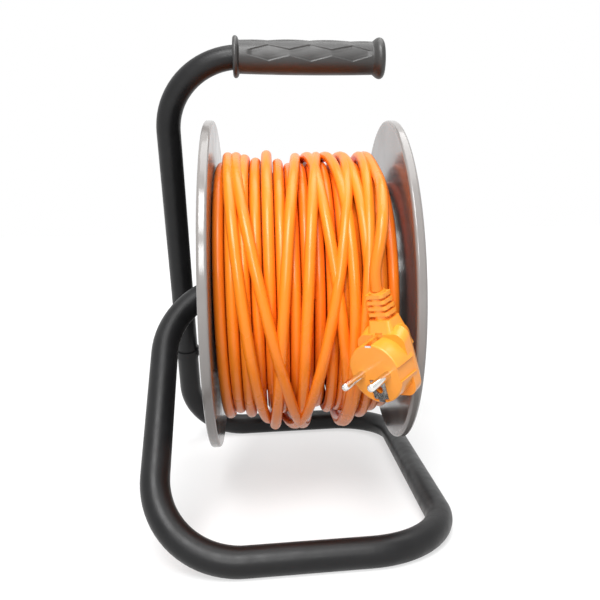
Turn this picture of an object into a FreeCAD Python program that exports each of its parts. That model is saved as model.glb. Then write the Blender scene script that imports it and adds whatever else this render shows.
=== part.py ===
import FreeCAD, Part
import math
import os
import Sketcher
from FreeCAD import Placement, Rotation, Vector

# Extension cord reel: a drum with an orange cord turns on the end of one bent tube, which is
# also the carrying handle and the floor stand.
# Millimetres. +X runs along the drum's axle towards the sockets, +Y to the back, +Z up.
# The origin is on the floor, under the middle of the reel without its cord.

doc = FreeCAD.newDocument("cord_reel")
sheet = doc.addObject("Spreadsheet::Sheet", "Sizes")

SIZES = [
    ("tube_d", 18.0, "frame tube, outside"),
    ("tube_wall", 1.5, "frame tube wall"),
    ("floor_flat", 0.5, "depth of the worn flat under the floor bars"),
    ("left_x", -99.5, "centre of the post, the upright and the left floor corners"),
    ("base_width", 180.0, "floor frame between tube centres, along the axle"),
    ("base_depth", 272.0, "floor frame between tube centres, front to back"),
    ("axle_z", 157.5, "height of the drum's axle"),
    ("handle_z", 323.5, "height of the handle's centre"),
    ("handle_bend", 57.0, "centreline radius at the handle"),
    ("rear_bend", 48.0, "centreline radius at the rear left corner"),
    ("right_bend", 51.0, "centreline radius at the two right corners"),
    ("front_bend", 55.0, "centreline radius at the front left corner"),
    ("axle_bend", 59.0, "centreline radius into the axle"),
    ("axle_end_x", 12.8, "free end of the axle, inside the drum"),
    ("fit_gap", 0.05, "radial gap of a fixed round fit"),
    ("run_gap", 0.08, "radial gap of a running fit"),
    ("side_gap", 0.3, "gap between faces that turn past each other"),
    ("grip_x", -49.0, "left end of the grip"),
    ("grip_length", 112.0, "grip, end to end"),
    ("grip_d", 25.6, "grip at its middle"),
    ("grip_waist_d", 24.0, "grip beside its end flanges"),
    ("grip_flange_d", 30.5, "end flanges of the grip"),
    ("grip_collar", 4.5, "width of the left flange of the grip"),
    ("grip_cap", 9.0, "width of the right flange of the grip"),
    ("grip_end_wall", 3.0, "closed end of the grip"),
    ("drum_left_x", -63.0, "inner face of the left flange"),
    ("drum_width", 125.0, "clear width between the flanges"),
    ("flange_d", 238.0, "flanges, outside"),
    ("web", 2.5, "thickness of a flange's web"),
    ("rim_width", 6.5, "width of the turned rim"),
    ("rim_wall", 2.5, "wall of the turned rim"),
    ("rim_round", 1.8, "rounding of the rim's inner edge"),
    ("rib_width", 2.2, "radial ribs on the outside of a flange"),
    ("seat_ring", 9.5, "ring between the socket hole and the core's outside"),
    ("screw_inset", 4.0, "screws' circle from the socket hole's edge"),
    ("core_wall", 2.5, "wall of the drum core"),
    ("tube_hole_d", 44.0, "hole in the left flange for the bent tube"),
    ("socket_hole_d", 113.0, "hole in the right flange for the sockets"),
    ("hub_x", -32.5, "left end of the hub in the core"),
    ("hub_length", 43.0, "hub in the core"),
    ("hub_d", 34.0, "hub, outside"),
    ("bush_d", 26.0, "hub bush, outside"),
    ("bush_length", 12.0, "hub bush without its collar"),
    ("bush_collar_d", 32.0, "collar of a hub bush"),
    ("bush_collar", 2.0, "thickness of a bush collar"),
    ("stop_width", 5.0, "stop ring on the axle"),
    ("stop_d", 30.0, "stop ring on the axle, outside"),
    ("boss_d", 8.0, "screw bosses in the core"),
    ("screw_d", 3.6, "flange and plate screws"),
    ("screw_head_d", 7.6, "heads of the flange and plate screws"),
    ("screw_head", 2.4, "height of those heads"),
    ("screw_length", 18.0, "those screws under their heads"),
    ("plate", 3.0, "thickness of the socket plate"),
    ("well_pitch", 47.0, "socket wells, centre to centre"),
    ("well_d", 39.5, "socket well, inside"),
    ("well_wall", 2.25, "wall of a socket well"),
    ("well_depth", 17.5, "depth of a socket well"),
    ("well_rim", 1.5, "how far a well's rim stands above the plate"),
    ("well_floor", 2.5, "floor of a socket well"),
    ("pin_pitch", 19.0, "plug pins, centre to centre"),
    ("pin_d", 4.8, "plug pins"),
    ("pin_length", 19.0, "plug pins, free length"),
    ("pin_hole_d", 5.6, "pin holes in a well"),
    ("tray_size", 92.0, "socket tray, across"),
    ("tray_corner_d", 121.0, "round that trims the tray's corners"),
    ("tray_wall", 2.0, "wall of the socket tray"),
    ("tray_depth", 18.7, "socket tray, front to back"),
    ("button_d", 10.0, "reset button"),
    ("button_travel", 2.5, "travel of the reset button"),
    ("lid_size", 44.0, "socket lid, across"),
    ("lid", 3.0, "thickness of a socket lid"),
    ("lid_hinge", 24.0, "hinge of a lid from its well's centre"),
    ("knuckle_d", 6.0, "hinge knuckles"),
    ("lid_pin_d", 2.5, "hinge pins of the lids"),
    ("crank_radius", 88.0, "winding knob from the axle"),
    ("crank_pin_d", 8.0, "pin of the winding knob"),
    ("crank_boss_d", 20.0, "boss under the winding knob"),
    ("knob_end_x", 109.5, "outer end of the winding knob"),
    ("knob_d", 28.0, "winding knob at its fullest"),
    ("clip_z", 87.0, "height of the brake clip's band"),
    ("clip_band", 7.0, "height of the brake clip's band"),
    ("clip_sheet", 1.0, "sheet of the brake clip"),
    ("cord_d", 7.5, "the cord"),
    ("layers", 12.0, "thickness of the full inner layers of the cord"),
    ("plug_inset", 28.5, "centre of the plug's face from the right flange"),
    ("plug_y", -128.5, "centre of the plug's face"),
    ("plug_z", 113.0, "centre of the plug's face"),
    ("plug_face_d", 37.5, "face of the plug"),
    ("plug_neck_y", 22.0, "cord's axis behind the plug's face"),
    ("plug_neck_z", 44.5, "top of the strain relief above the plug's axis"),
]


class Size:
    """A number together with the sheet formula that gives it."""

    def __init__(self, value, text):
        self.value = float(value)
        self.text = text

    def __add__(self, other):
        other = size(other)
        return Size(self.value + other.value, f"({self.text} + {other.text})")

    def __sub__(self, other):
        other = size(other)
        return Size(self.value - other.value, f"({self.text} - {other.text})")

    def __mul__(self, other):
        other = size(other)
        return Size(self.value * other.value, f"({self.text} * {other.text})")

    def __truediv__(self, other):
        other = size(other)
        return Size(self.value / other.value, f"({self.text} / {other.text})")

    def __neg__(self):
        return Size(-self.value, f"(0 - {self.text})")

    def __radd__(self, other):
        return size(other) + self

    def __rsub__(self, other):
        return size(other) - self

    def __rmul__(self, other):
        return size(other) * self


def size(value):
    """A plain number as a Size."""
    if isinstance(value, Size):
        return value
    return Size(value, f"({float(value)})")


class Sheet:
    """The spreadsheet's cells by name."""


k = Sheet()
for row, (alias, value, words) in enumerate(SIZES, 1):
    sheet.set(f"A{row}", words)
    sheet.set(f"B{row}", str(value))
    sheet.setAlias(f"B{row}", alias)
    setattr(k, alias, Size(value, f"Sizes.{alias}"))
doc.recompute()

# Turns that lay a cylinder along an axis
ALONG = {
    "x": Rotation(Vector(0, 1, 0), 90),
    "y": Rotation(Vector(1, 0, 0), -90),
    "z": Rotation(),
}

nodes = {}
cuts = []


def node(name, thing):
    """Name a finished piece."""
    thing.Label = name
    nodes[name] = thing
    return thing


def bind(thing, prop, value):
    """Tie a property to the sheet."""
    thing.setExpression(prop, size(value).text)


def place(thing, at, turn=None):
    """Put a thing at a point, with its coordinates tied to the sheet."""
    thing.Placement = Placement(Vector(), turn or Rotation())
    for axis, value in zip("xyz", at):
        bind(thing, f"Placement.Base.{axis}", value)
    return thing


def box(low, high):
    """A block from its lowest to its highest corner."""
    thing = doc.addObject("Part::Box", "block")
    for prop, start, end in zip(("Length", "Width", "Height"), low, high):
        bind(thing, prop, size(end) - start)
    return place(thing, low)


def rod(diameter, start, length, axis):
    """A round bar from a point along x, y or z."""
    thing = doc.addObject("Part::Cylinder", "bar")
    bind(thing, "Radius", size(diameter) / 2)
    bind(thing, "Height", length)
    return place(thing, start, ALONG[axis])


def trimmed(thing, diameter):
    """The part of a block that lies inside a round about the axle."""
    limit = rod(diameter, (tray_back_x, 0, k.axle_z), k.tray_size, "x")
    both = doc.addObject("Part::MultiCommon", "trimmed")
    both.Shapes = [thing, limit]
    return both


def join(*things):
    """Several overlapping shapes made one."""
    thing = doc.addObject("Part::MultiFuse", "joined")
    thing.Shapes = list(things)
    return thing


def cut(base, *tools):
    """A shape less some others."""
    thing = doc.addObject("Part::Cut", "cut")
    thing.Base = base
    thing.Tool = tools[0] if len(tools) == 1 else join(*tools)
    cuts.append((thing, base))
    return thing


def group(*things):
    """Separate solids that share one node."""
    thing = doc.addObject("Part::Compound", "group")
    thing.Links = list(things)
    return thing


def own_shape(name, shape, at=None, turn=None):
    """A piece whose shape is worked out here."""
    thing = doc.addObject("Part::Feature", name)
    thing.Shape = shape
    thing.Placement = Placement(at or Vector(), turn or Rotation())
    return thing


def origin_part(body, role):
    """One of a body's own origin planes or axes."""
    return next(part for part in body.Origin.OriginFeatures if part.Role == role)


def sketch_on(body, plane, name, offset=0.0):
    """A sketch on one of the body's own planes, lifted off it by an offset."""
    sketch = body.newObject("Sketcher::SketchObject", name)
    sketch.AttachmentSupport = [(origin_part(body, plane), "")]
    sketch.MapMode = "FlatFace"
    bind(sketch, "AttachmentOffset.Base.z", offset)
    return sketch


def tie_point(sketch, line, end, point):
    """Hold one end of a line at a point whose coordinates come from the sheet."""
    for kind, value, axis in (("DistanceX", point[0], -2), ("DistanceY", point[1], -1)):
        value = size(value)
        if abs(value.value) < 1e-9:
            sketch.addConstraint(Sketcher.Constraint("PointOnObject", line, end, axis))
        else:
            index = sketch.addConstraint(
                Sketcher.Constraint(kind, -1, 1, line, end, value.value))
            sketch.setExpression(f"Constraints[{index}]", value.text)


def outline(sketch, points):
    """A closed outline of straight lines."""
    count = len(points)
    spots = [Vector(size(a).value, size(b).value, 0) for a, b in points]
    for index in range(count):
        line = Part.LineSegment(spots[index], spots[(index + 1) % count])
        sketch.addGeometry(line, False)
    for index in range(count):
        following = (index + 1) % count
        sketch.addConstraint(Sketcher.Constraint("Coincident", index, 2, following, 1))
    for index in range(count):
        tie_point(sketch, index, 1, points[index])


def hole_circle(sketch, diameter, centre):
    """A circle in a sketch."""
    spot = Vector(size(centre[0]).value, size(centre[1]).value, 0)
    radius = size(diameter) / 2
    index = sketch.addGeometry(Part.Circle(spot, Vector(0, 0, 1), radius.value), False)
    tie_point(sketch, index, 3, centre)
    held = sketch.addConstraint(Sketcher.Constraint("Radius", index, radius.value))
    sketch.setExpression(f"Constraints[{held}]", radius.text)


def turned(name, profile, start):
    """A piece turned about the x axis. Its outline gives (x, radius) from its left end."""
    body = doc.addObject("PartDesign::Body", name)
    sketch = sketch_on(body, "XY_Plane", f"{name}_outline")
    outline(sketch, profile)
    turn = body.newObject("PartDesign::Revolution", f"{name}_turn")
    turn.Profile = sketch
    turn.ReferenceAxis = (sketch, ["H_Axis"])
    turn.Angle = 360
    sketch.Visibility = False
    place(body, start)
    doc.recompute()
    return body


def ring(name, inner, outer, start, length):
    """A plain ring about the x axis, from its diameters."""
    inner = size(inner) / 2
    outer = size(outer) / 2
    profile = [(0, inner), (0, outer), (length, outer), (length, inner)]
    return turned(name, profile, start)


def soften(body, rings, radius, kind="Fillet"):
    """Round or bevel the round edges of a turned piece, each given as (x, radius)."""
    base = body.Tip
    spots = [(size(x).value, size(r).value) for x, r in rings]
    edges = []
    for number, edge in enumerate(base.Shape.Edges, 1):
        curve = edge.Curve
        if not isinstance(curve, Part.Circle):
            continue
        here = (curve.Center.x, curve.Radius)
        if any(math.dist(here, spot) < 0.01 for spot in spots):
            edges.append(f"Edge{number}")
    feature = body.newObject(f"PartDesign::{kind}", f"{body.Name}_soft")
    feature.Base = (base, edges)
    bind(feature, "Radius" if kind == "Fillet" else "Size", radius)
    doc.recompute()


def repeat(body, feature, count):
    """A feature repeated about the x axis."""
    pattern = body.newObject("PartDesign::PolarPattern", f"{feature.Name}_ring")
    pattern.Originals = [feature]
    pattern.Axis = (origin_part(body, "X_Axis"), [""])
    pattern.Angle = 360
    pattern.Occurrences = count
    body.Tip = pattern
    doc.recompute()


def padded(body, name, offset, length, draw):
    """A pad towards +x from a sketch that faces the x axis."""
    sketch = sketch_on(body, "YZ_Plane", f"{name}_sketch", offset)
    draw(sketch)
    pad = body.newObject("PartDesign::Pad", name)
    pad.Profile = sketch
    bind(pad, "Length", length)
    sketch.Visibility = False
    doc.recompute()
    return pad


def bored(body, name, offset, depth, diameter, centre):
    """A round hole from a plane back towards -x."""
    before = body.Shape.Volume
    sketch = sketch_on(body, "YZ_Plane", f"{name}_sketch", offset)
    hole_circle(sketch, diameter, centre)
    pocket = body.newObject("PartDesign::Pocket", name)
    pocket.Profile = sketch
    bind(pocket, "Length", depth)
    sketch.Visibility = False
    doc.recompute()
    if body.Shape.Volume >= before:
        raise RuntimeError(f"{name} cuts nothing")
    return pocket


# Places that several pieces share
tube_z = k.tube_d / 2 - k.floor_flat
right_x = k.left_x + k.base_width
half_depth = k.base_depth / 2
core_d = k.socket_hole_d + 2 * k.seat_ring
plate_d = core_d
screw_circle_d = k.socket_hole_d + 2 * k.screw_inset
wound_d = core_d + 2 * k.layers
drum_right_x = k.drum_left_x + k.drum_width
plate_back_x = drum_right_x + k.web
plate_front_x = plate_back_x + k.plate
rim_front_x = plate_front_x + k.well_rim
floor_front_x = rim_front_x - k.well_depth
floor_back_x = floor_front_x - k.well_floor
half_pitch = k.well_pitch / 2
wells = [(side_y * half_pitch, side_z * half_pitch, side_z)
         for side_z in (1, -1) for side_y in (-1, 1)]
CROSS = [(1, 0), (0, 1), (-1, 0), (0, -1)]

# Hinges of the lids and posts of the tray
ear_reach = size(14.5)
ear_width = size(3.0)
hinge_x = plate_front_x + k.knuckle_d / 2 + 0.5
tray_post_d = size(7.0)
tray_post_r = size(40.0)
tray_screw_d = size(3.0)
tray_screw_length = size(12.0)
tray_screw_head_d = size(5.6)
tray_screw_head = size(2.0)

# Contacts, cut-out and leads, from the back of the tray
tray_front_x = floor_back_x - k.side_gap
tray_back_x = tray_front_x - k.tray_depth
tray_inside_x = tray_back_x + k.tray_wall
strip = size(1.0)
cross_x = tray_back_x + 3.0
strip_x = tray_back_x + 5.5
sleeve_d = size(7.0)
cutout_x = tray_back_x + 8.5
cutout_d = size(18.0)
cutout_length = size(19.0)
tab_x = tray_back_x + 10.5
tab_z = size(3.0)
tab_reach = 12.5
earth_x = floor_back_x - k.side_gap - strip
earth_cross_z = size(-14.5)
lead_hole_y = size(-22.0)
lead_hole_z = size(-22.0)
cord_inlet_x = tray_back_x - 5.1


def spot(*values):
    """A point in numbers."""
    return Vector(*[size(value).value for value in values])


# The route of a tube or wire: straight runs joined by arcs

def bent_path(points, radii):
    """A wire through corner points, each inner corner rounded to its radius."""
    edges = []
    last = points[0]
    for index in range(1, len(points) - 1):
        corner = points[index]
        back = (points[index - 1] - corner).normalize()
        ahead = (points[index + 1] - corner).normalize()
        half = back.getAngle(ahead) / 2
        radius = radii[index - 1]
        reach = radius / math.tan(half)
        start = corner + back * reach
        end = corner + ahead * reach
        inward = (back + ahead).normalize()
        middle = corner + inward * (radius / math.sin(half) - radius)
        edges.append(Part.LineSegment(last, start).toShape())
        edges.append(Part.Arc(start, middle, end).toShape())
        last = end
    edges.append(Part.LineSegment(last, points[-1]).toShape())
    return Part.Wire(edges)


def route_radii(points, name):
    """Bend radii of 0.45 of the shorter run beside each corner, over the half turn's tangent."""
    radii = []
    for before, corner, after in zip(points, points[1:], points[2:]):
        turn = math.pi - (before - corner).getAngle(after - corner)
        run = min((before - corner).Length, (after - corner).Length)
        radii.append(0.45 * run / math.tan(turn / 2))
    print(name, "bend radii", [round(radius, 1) for radius in radii])
    return radii


def swept(path, diameter):
    """A round solid along a wire."""
    first = path.OrderedEdges[0]
    start = first.valueAt(first.FirstParameter)
    heading = first.tangentAt(first.FirstParameter)
    circle = Part.Circle(start, heading, diameter / 2)
    profile = Part.Wire([circle.toShape()])
    return path.makePipeShell([profile], True, False)


# Frame: one bent tube is handle, post, floor frame, upright and axle

def make_frame_tube():
    grip_inside_x = k.grip_x + k.grip_length - k.grip_end_wall - k.side_gap
    corners = [
        spot(grip_inside_x, 0, k.handle_z),
        spot(k.left_x, 0, k.handle_z),
        spot(k.left_x, half_depth, tube_z),
        spot(right_x, half_depth, tube_z),
        spot(right_x, -half_depth, tube_z),
        spot(k.left_x, -half_depth, tube_z),
        spot(k.left_x, 0, k.axle_z),
        spot(k.axle_end_x, 0, k.axle_z),
    ]
    bends = [bend.value for bend in
             (k.handle_bend, k.rear_bend, k.right_bend, k.right_bend, k.front_bend, k.axle_bend)]
    route = own_shape("tube_route", bent_path(corners, bends))
    edges = [f"Edge{number}" for number in range(1, len(route.Shape.Edges) + 1)]
    skins = []
    for diameter in (k.tube_d, k.tube_d - 2 * k.tube_wall):
        circle = doc.addObject("Part::Circle", "tube_section")
        bind(circle, "Radius", diameter / 2)
        place(circle, (grip_inside_x, 0, k.handle_z), Rotation(Vector(0, 0, 1), Vector(-1, 0, 0)))
        sweep = doc.addObject("Part::Sweep", "tube_sweep")
        sweep.Sections = [circle]
        sweep.Spine = (route, edges)
        sweep.Solid = True
        sweep.Frenet = False
        skins.append(sweep)
    reach = 2 * k.tube_d
    below = box((k.left_x - reach, -half_depth - reach, -reach),
                (right_x + reach, half_depth + reach, 0))
    node("frame_tube", cut(cut(skins[0], skins[1]), below))


def make_grip():
    bore = k.tube_d / 2 + k.fit_gap
    flange = k.grip_flange_d / 2
    waist = k.grip_waist_d / 2
    body_start = k.grip_collar
    body_end = k.grip_length - k.grip_cap
    body_middle = (body_start + body_end) / 2
    quarter = (body_end - body_start) / 4
    full = k.grip_d / 2
    shoulder = waist + (full - waist) * 0.75
    round_end = 3.0
    mouth = size(8.0)
    flare = size(0.5)
    profile = [
        (mouth, bore), (0, bore + flare), (0, flange), (body_start, flange), (body_start, waist),
        (body_start + quarter, shoulder), (body_middle, full), (body_end - quarter, shoulder),
        (body_end, waist), (body_end, flange), (k.grip_length, flange), (k.grip_length, 0),
        (k.grip_length - k.grip_end_wall, 0), (k.grip_length - k.grip_end_wall, bore),
    ]
    grip = turned("handle_grip", profile, (k.grip_x, 0, k.handle_z))
    soften(grip, [(k.grip_length, flange)], round_end)
    soften(grip, [(0, flange), (body_start, flange), (body_end, flange)], round_end / 3)
    node("handle_grip", grip)


def make_brake_clip():
    """A band round the post, with a springy ear that stands behind the flange's edge."""
    rise = (k.handle_z - tube_z).value
    lean = math.degrees(math.atan2(half_depth.value, rise))
    upright = Rotation(Vector(1, 0, 0), lean)
    share = (k.handle_z - k.clip_z) / (k.handle_z - tube_z)
    band_y = half_depth * share
    heading = upright.multVec(Vector(0, 0, 1))
    skins = []
    bore = k.tube_d / 2 + k.fit_gap
    for radius, length in ((bore + k.clip_sheet, k.clip_band), (bore, 6 * k.clip_band)):
        skin = Part.makeCylinder(radius.value, length.value, Vector(), heading)
        skin.translate(spot(k.left_x, band_y, k.clip_z) - heading * (length.value / 2))
        skins.append(skin)
    ear_y = (band_y - k.tube_d / 4).value
    root_x = (k.left_x + k.tube_d / 2).value - 1.5
    neck_x = root_x + 3.0
    tall_x = neck_x + 4.5
    tall_end_x = k.drum_left_x.value - k.rim_width.value - 4.0
    tip_x = k.drum_left_x.value + 4.0
    middle = k.clip_z.value + 0.5
    half_band = k.clip_band.value / 2
    outline_xz = [
        (root_x, middle - half_band), (neck_x, middle - half_band), (tall_x, middle - 9.5),
        (tall_end_x, middle - 9.5), (tip_x, middle - 8.5), (tip_x, middle - 1.5),
        (tall_end_x, middle - 0.5), (tall_end_x - 4.0, middle + 10.5), (tall_x, middle + 10.5),
        (neck_x, middle + half_band), (root_x, middle + half_band),
    ]
    corners = [Vector(x, ear_y, z) for x, z in outline_xz]
    face = Part.Face(Part.makePolygon(corners + corners[:1]))
    ear = face.extrude(Vector(0, k.clip_sheet.value, 0))
    hole_z = middle - 3.2
    hole = Part.makeCylinder(2.2, 3 * k.clip_sheet.value,
                             Vector(tall_x - 2.0, ear_y - k.clip_sheet.value, hole_z),
                             Vector(0, 1, 0))
    band = skins[0].fuse(ear).cut(skins[1]).cut(hole).removeSplitter()
    node("brake_clip", own_shape("brake_clip", band))
    # The pad stands between the ear and the edge of the left flange
    pad_low = middle - 8.0
    pad_high = middle - 2.0
    drop = k.axle_z.value - pad_high
    edge_y = math.sqrt((k.flange_d.value / 2) ** 2 - drop ** 2)
    front_y = edge_y + k.side_gap.value
    pad_x = k.drum_left_x.value - k.rim_width.value - 0.5
    pad = Part.makeBox(k.rim_width.value + 1.0, ear_y - front_y, pad_high - pad_low,
                       Vector(pad_x, front_y, pad_low))
    node("brake_pad", own_shape("brake_pad", pad))


# Axle: stop ring, end plug, washer and screw

def make_axle_parts():
    bush_left_x = k.hub_x - k.bush_collar
    stop_x = bush_left_x - k.side_gap - k.stop_width
    bore_d = k.tube_d + 2 * k.fit_gap
    stop = ring("axle_stop_ring", bore_d, k.stop_d, (stop_x, 0, k.axle_z), k.stop_width)
    soften(stop, [(0, k.stop_d / 2), (k.stop_width, k.stop_d / 2)], 0.6, "Chamfer")
    screw_d = size(3.0)
    screw_x = stop_x + k.stop_width / 2
    screw_hole = rod(screw_d + 2 * k.fit_gap, (screw_x, 0, k.axle_z), k.stop_d, "z")
    node("axle_stop_ring", cut(stop, screw_hole))
    screw_z = k.axle_z + k.tube_d / 2 + 2 * k.fit_gap
    node("stop_ring_screw", rod(screw_d, (screw_x, 0, screw_z), 5.4, "z"))
    inside_d = k.tube_d - 2 * k.tube_wall - 2 * k.fit_gap
    plug_length = size(25.0)
    thread_d = size(6.0)
    plug = ring("axle_end_plug", thread_d + 2 * k.fit_gap, inside_d,
                (k.axle_end_x - plug_length, 0, k.axle_z), plug_length)
    node("axle_end_plug", plug)
    washer = size(2.0)
    node("axle_washer", ring("axle_washer", thread_d + 0.4, k.stop_d,
                             (k.axle_end_x, 0, k.axle_z), washer))
    head = size(4.0)
    shank = size(20.0)
    profile = [(0, 0), (0, thread_d / 2), (shank, thread_d / 2), (shank, 5.0),
               (shank + head, 5.0), (shank + head, 0)]
    screw = turned("axle_screw", profile, (k.axle_end_x + washer - shank, 0, k.axle_z))
    soften(screw, [(shank + head, 5.0)], 1.2)
    node("axle_screw", screw)


# Drum: two flanges, the core with its hub and bushes

RIB_COUNT = 12


def add_ribs(body, start, inner, outer, length):
    """Radial ribs on the outside of a flange, the first of them between two screws."""
    half = k.rib_width / 2
    turn = math.pi / RIB_COUNT
    cos, sin = math.cos(turn), math.sin(turn)

    def draw(sketch):
        corners = [(inner, -half), (outer, -half), (outer, half), (inner, half)]
        outline(sketch, [(a * cos - b * sin, a * sin + b * cos) for a, b in corners])

    rib = padded(body, f"{body.Name}_rib", start, length, draw)
    repeat(body, rib, RIB_COUNT)


def make_left_flange():
    radius = k.flange_d / 2
    hole = k.tube_hole_d / 2
    boss = hole + 6.0
    web_x = k.rim_width - k.web
    inside = radius - k.rim_wall
    profile = [
        (k.rim_width, hole), (k.rim_width, radius), (0, radius), (0, inside),
        (web_x, inside), (web_x, boss), (0.5, boss), (0.5, hole),
    ]
    flange = turned("left_flange", profile, (k.drum_left_x - k.rim_width, 0, k.axle_z))
    soften(flange, [(k.rim_width, radius), (0, radius)], k.rim_round)
    add_ribs(flange, 0.8, boss - 1.0, inside + 1.0, web_x - 0.8 + 0.4)
    hole_at = (screw_circle_d / 2, 0)
    bore = bored(flange, "left_screw_hole", k.rim_width, k.rim_width,
                 k.screw_d + 2 * k.side_gap, hole_at)
    repeat(flange, bore, 4)
    node("left_flange", flange)


def make_right_flange():
    radius = k.flange_d / 2
    hole = k.socket_hole_d / 2
    inside = radius - k.rim_wall
    profile = [
        (0, hole), (0, radius), (k.rim_width, radius), (k.rim_width, inside),
        (k.web, inside), (k.web, hole),
    ]
    flange = turned("right_flange", profile, (drum_right_x, 0, k.axle_z))
    soften(flange, [(0, radius), (k.rim_width, radius)], k.rim_round)
    ribs_start = plate_d / 2 + 1.0
    add_ribs(flange, k.web - 0.4, ribs_start, inside + 1.0, k.rim_width - k.web - 0.8 + 0.4)
    boss_height = size(7.5)

    def draw(sketch):
        hole_circle(sketch, k.crank_boss_d, (k.crank_radius, 0))

    padded(flange, "crank_boss", k.web - 0.4, boss_height - k.web + 0.4, draw)
    bored(flange, "crank_pin_hole", boss_height, 6.0, k.crank_pin_d + 2 * k.fit_gap,
          (k.crank_radius, 0))
    bore = bored(flange, "right_screw_hole", k.web, k.web, k.screw_d + 2 * k.side_gap,
                 (screw_circle_d / 2, 0))
    repeat(flange, bore, 4)
    node("right_flange", flange)


def make_core():
    outer = core_d / 2
    inner = outer - k.core_wall
    hub = k.hub_d / 2
    seat = k.bush_d / 2
    spacer = seat - 2.0
    web_start = k.hub_x - k.drum_left_x
    web_end = web_start + 3.0
    hub_end = web_start + k.hub_length
    profile = [
        (0, inner), (0, outer), (k.drum_width, outer), (k.drum_width, inner),
        (web_end, inner), (web_end, hub), (hub_end, hub), (hub_end, seat),
        (hub_end - k.bush_length, seat), (hub_end - k.bush_length, spacer),
        (web_start + k.bush_length, spacer), (web_start + k.bush_length, seat),
        (web_start, seat), (web_start, inner),
    ]
    core = turned("drum_core", profile, (k.drum_left_x, 0, k.axle_z))
    half = k.rib_width / 2

    def draw_rib(sketch):
        outline(sketch, [(hub - 1.0, -half), (inner + 1.0, -half),
                         (inner + 1.0, half), (hub - 1.0, half)])

    rib = padded(core, "core_rib", web_end - 0.4, 24.4, draw_rib)
    repeat(core, rib, 6)

    def draw_boss(sketch):
        hole_circle(sketch, k.boss_d, (screw_circle_d / 2, 0))

    boss = padded(core, "core_boss", 0, k.drum_width, draw_boss)
    repeat(core, boss, 4)
    pilot = k.screw_d + 2 * k.fit_gap
    depth = k.screw_length
    at = (screw_circle_d / 2, 0)
    for name, start in (("left_pilot", depth), ("right_pilot", k.drum_width)):
        repeat(core, bored(core, name, start, depth, pilot, at), 4)
    cord_hole = rod(k.cord_d + 2 * k.side_gap, (cord_inlet_x, 0, k.axle_z), core_d, "y")
    place(cord_hole, (cord_inlet_x, 0, k.axle_z), inlet_turn)
    node("drum_core", cut(core, cord_hole))


def make_bushes():
    bore = k.tube_d / 2 + k.run_gap
    body = k.bush_d / 2 - k.fit_gap
    collar = k.bush_collar_d / 2
    left = [(0, bore), (0, collar), (k.bush_collar, collar), (k.bush_collar, body),
            (k.bush_collar + k.bush_length, body), (k.bush_collar + k.bush_length, bore)]
    start = (k.hub_x - k.bush_collar, 0, k.axle_z)
    node("left_hub_bush", turned("left_hub_bush", left, start))
    right = [(0, bore), (0, body), (k.bush_length, body), (k.bush_length, collar),
             (k.bush_length + k.bush_collar - k.side_gap, collar),
             (k.bush_length + k.bush_collar - k.side_gap, bore)]
    start = (k.hub_x + k.hub_length - k.bush_length, 0, k.axle_z)
    node("right_hub_bush", turned("right_hub_bush", right, start))


def flat_screw(diameter, length, head_d, head, start, outward):
    """A pan head screw along x. Its head's seat is at the start and faces outward."""
    seat_x, y, z = start
    shank_x = seat_x if outward < 0 else seat_x - length
    head_x = seat_x - head if outward < 0 else seat_x
    shank = rod(diameter, (shank_x, y, z), length, "x")
    cap = rod(head_d, (head_x, y, z), head, "x")
    return join(shank, cap)


def around(radius):
    """Four places on a circle about the axle."""
    return [(step_y * radius, k.axle_z + step_z * radius) for step_y, step_z in CROSS]


def make_flange_screws():
    radius = screw_circle_d / 2
    left_seat = k.drum_left_x - k.web
    left = [flat_screw(k.screw_d, k.screw_length, k.screw_head_d, k.screw_head,
                       (left_seat, y, z), -1) for y, z in around(radius)]
    node("left_flange_screws", group(*left))
    right = [flat_screw(k.screw_d, k.screw_length, k.screw_head_d, k.screw_head,
                        (plate_front_x, y, z), 1) for y, z in around(radius)]
    node("socket_plate_screws", group(*right))


# Sockets: plate with four wells, tray, contact bars, cut-out and lids

def make_socket_plate():
    solids = [rod(plate_d, (plate_back_x, 0, k.axle_z), k.plate, "x")]
    holes = []
    well_length = rim_front_x - floor_back_x
    for y, z, side in wells:
        z = k.axle_z + z
        solids.append(rod(k.well_d + 2 * k.well_wall, (floor_back_x, y, z), well_length, "x"))
        holes.append(rod(k.well_d, (floor_front_x, y, z), k.well_depth + 1.0, "x"))
        for hand in (-1, 1):
            pin_y = y + hand * k.pin_pitch / 2
            holes.append(rod(k.pin_hole_d, (floor_back_x - 1.0, pin_y, z), k.well_floor + 2.0, "x"))
            slot_z = z + hand * (k.well_d / 2 - 2.0)
            holes.append(box((floor_back_x - 1.0, y - 3.3, slot_z - 1.3),
                             (floor_front_x + 1.0, y + 3.3, slot_z + 1.3)))
            ear_z = z + side * k.lid_hinge
            near = y + hand * ear_reach
            low_y = near if hand < 0 else near - ear_width
            half = k.knuckle_d / 2
            solids.append(box((plate_front_x - 0.5, low_y, ear_z - half),
                              (hinge_x, low_y + ear_width, ear_z + half)))
            solids.append(rod(k.knuckle_d, (hinge_x, low_y, ear_z), ear_width, "y"))
            holes.append(rod(k.lid_pin_d + 2 * k.fit_gap, (hinge_x, low_y - 1.0, ear_z),
                             ear_width + 2.0, "y"))
    for y, z in around(tray_post_r):
        solids.append(rod(tray_post_d, (tray_inside_x + k.side_gap, y, z),
                          plate_back_x - tray_inside_x, "x"))
        holes.append(rod(tray_screw_d + 2 * k.fit_gap, (tray_inside_x, y, z),
                         tray_screw_length + 2.0, "x"))
    for y, z in around(screw_circle_d / 2):
        holes.append(rod(k.screw_d + 2 * k.side_gap, (plate_back_x - 1.0, y, z), k.plate + 2.0, "x"))
    holes.append(rod(k.button_d + 2 * k.side_gap, (plate_back_x - 1.0, 0, k.axle_z),
                     k.plate + 2.0, "x"))
    node("socket_plate", cut(join(*solids), *holes))


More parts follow.
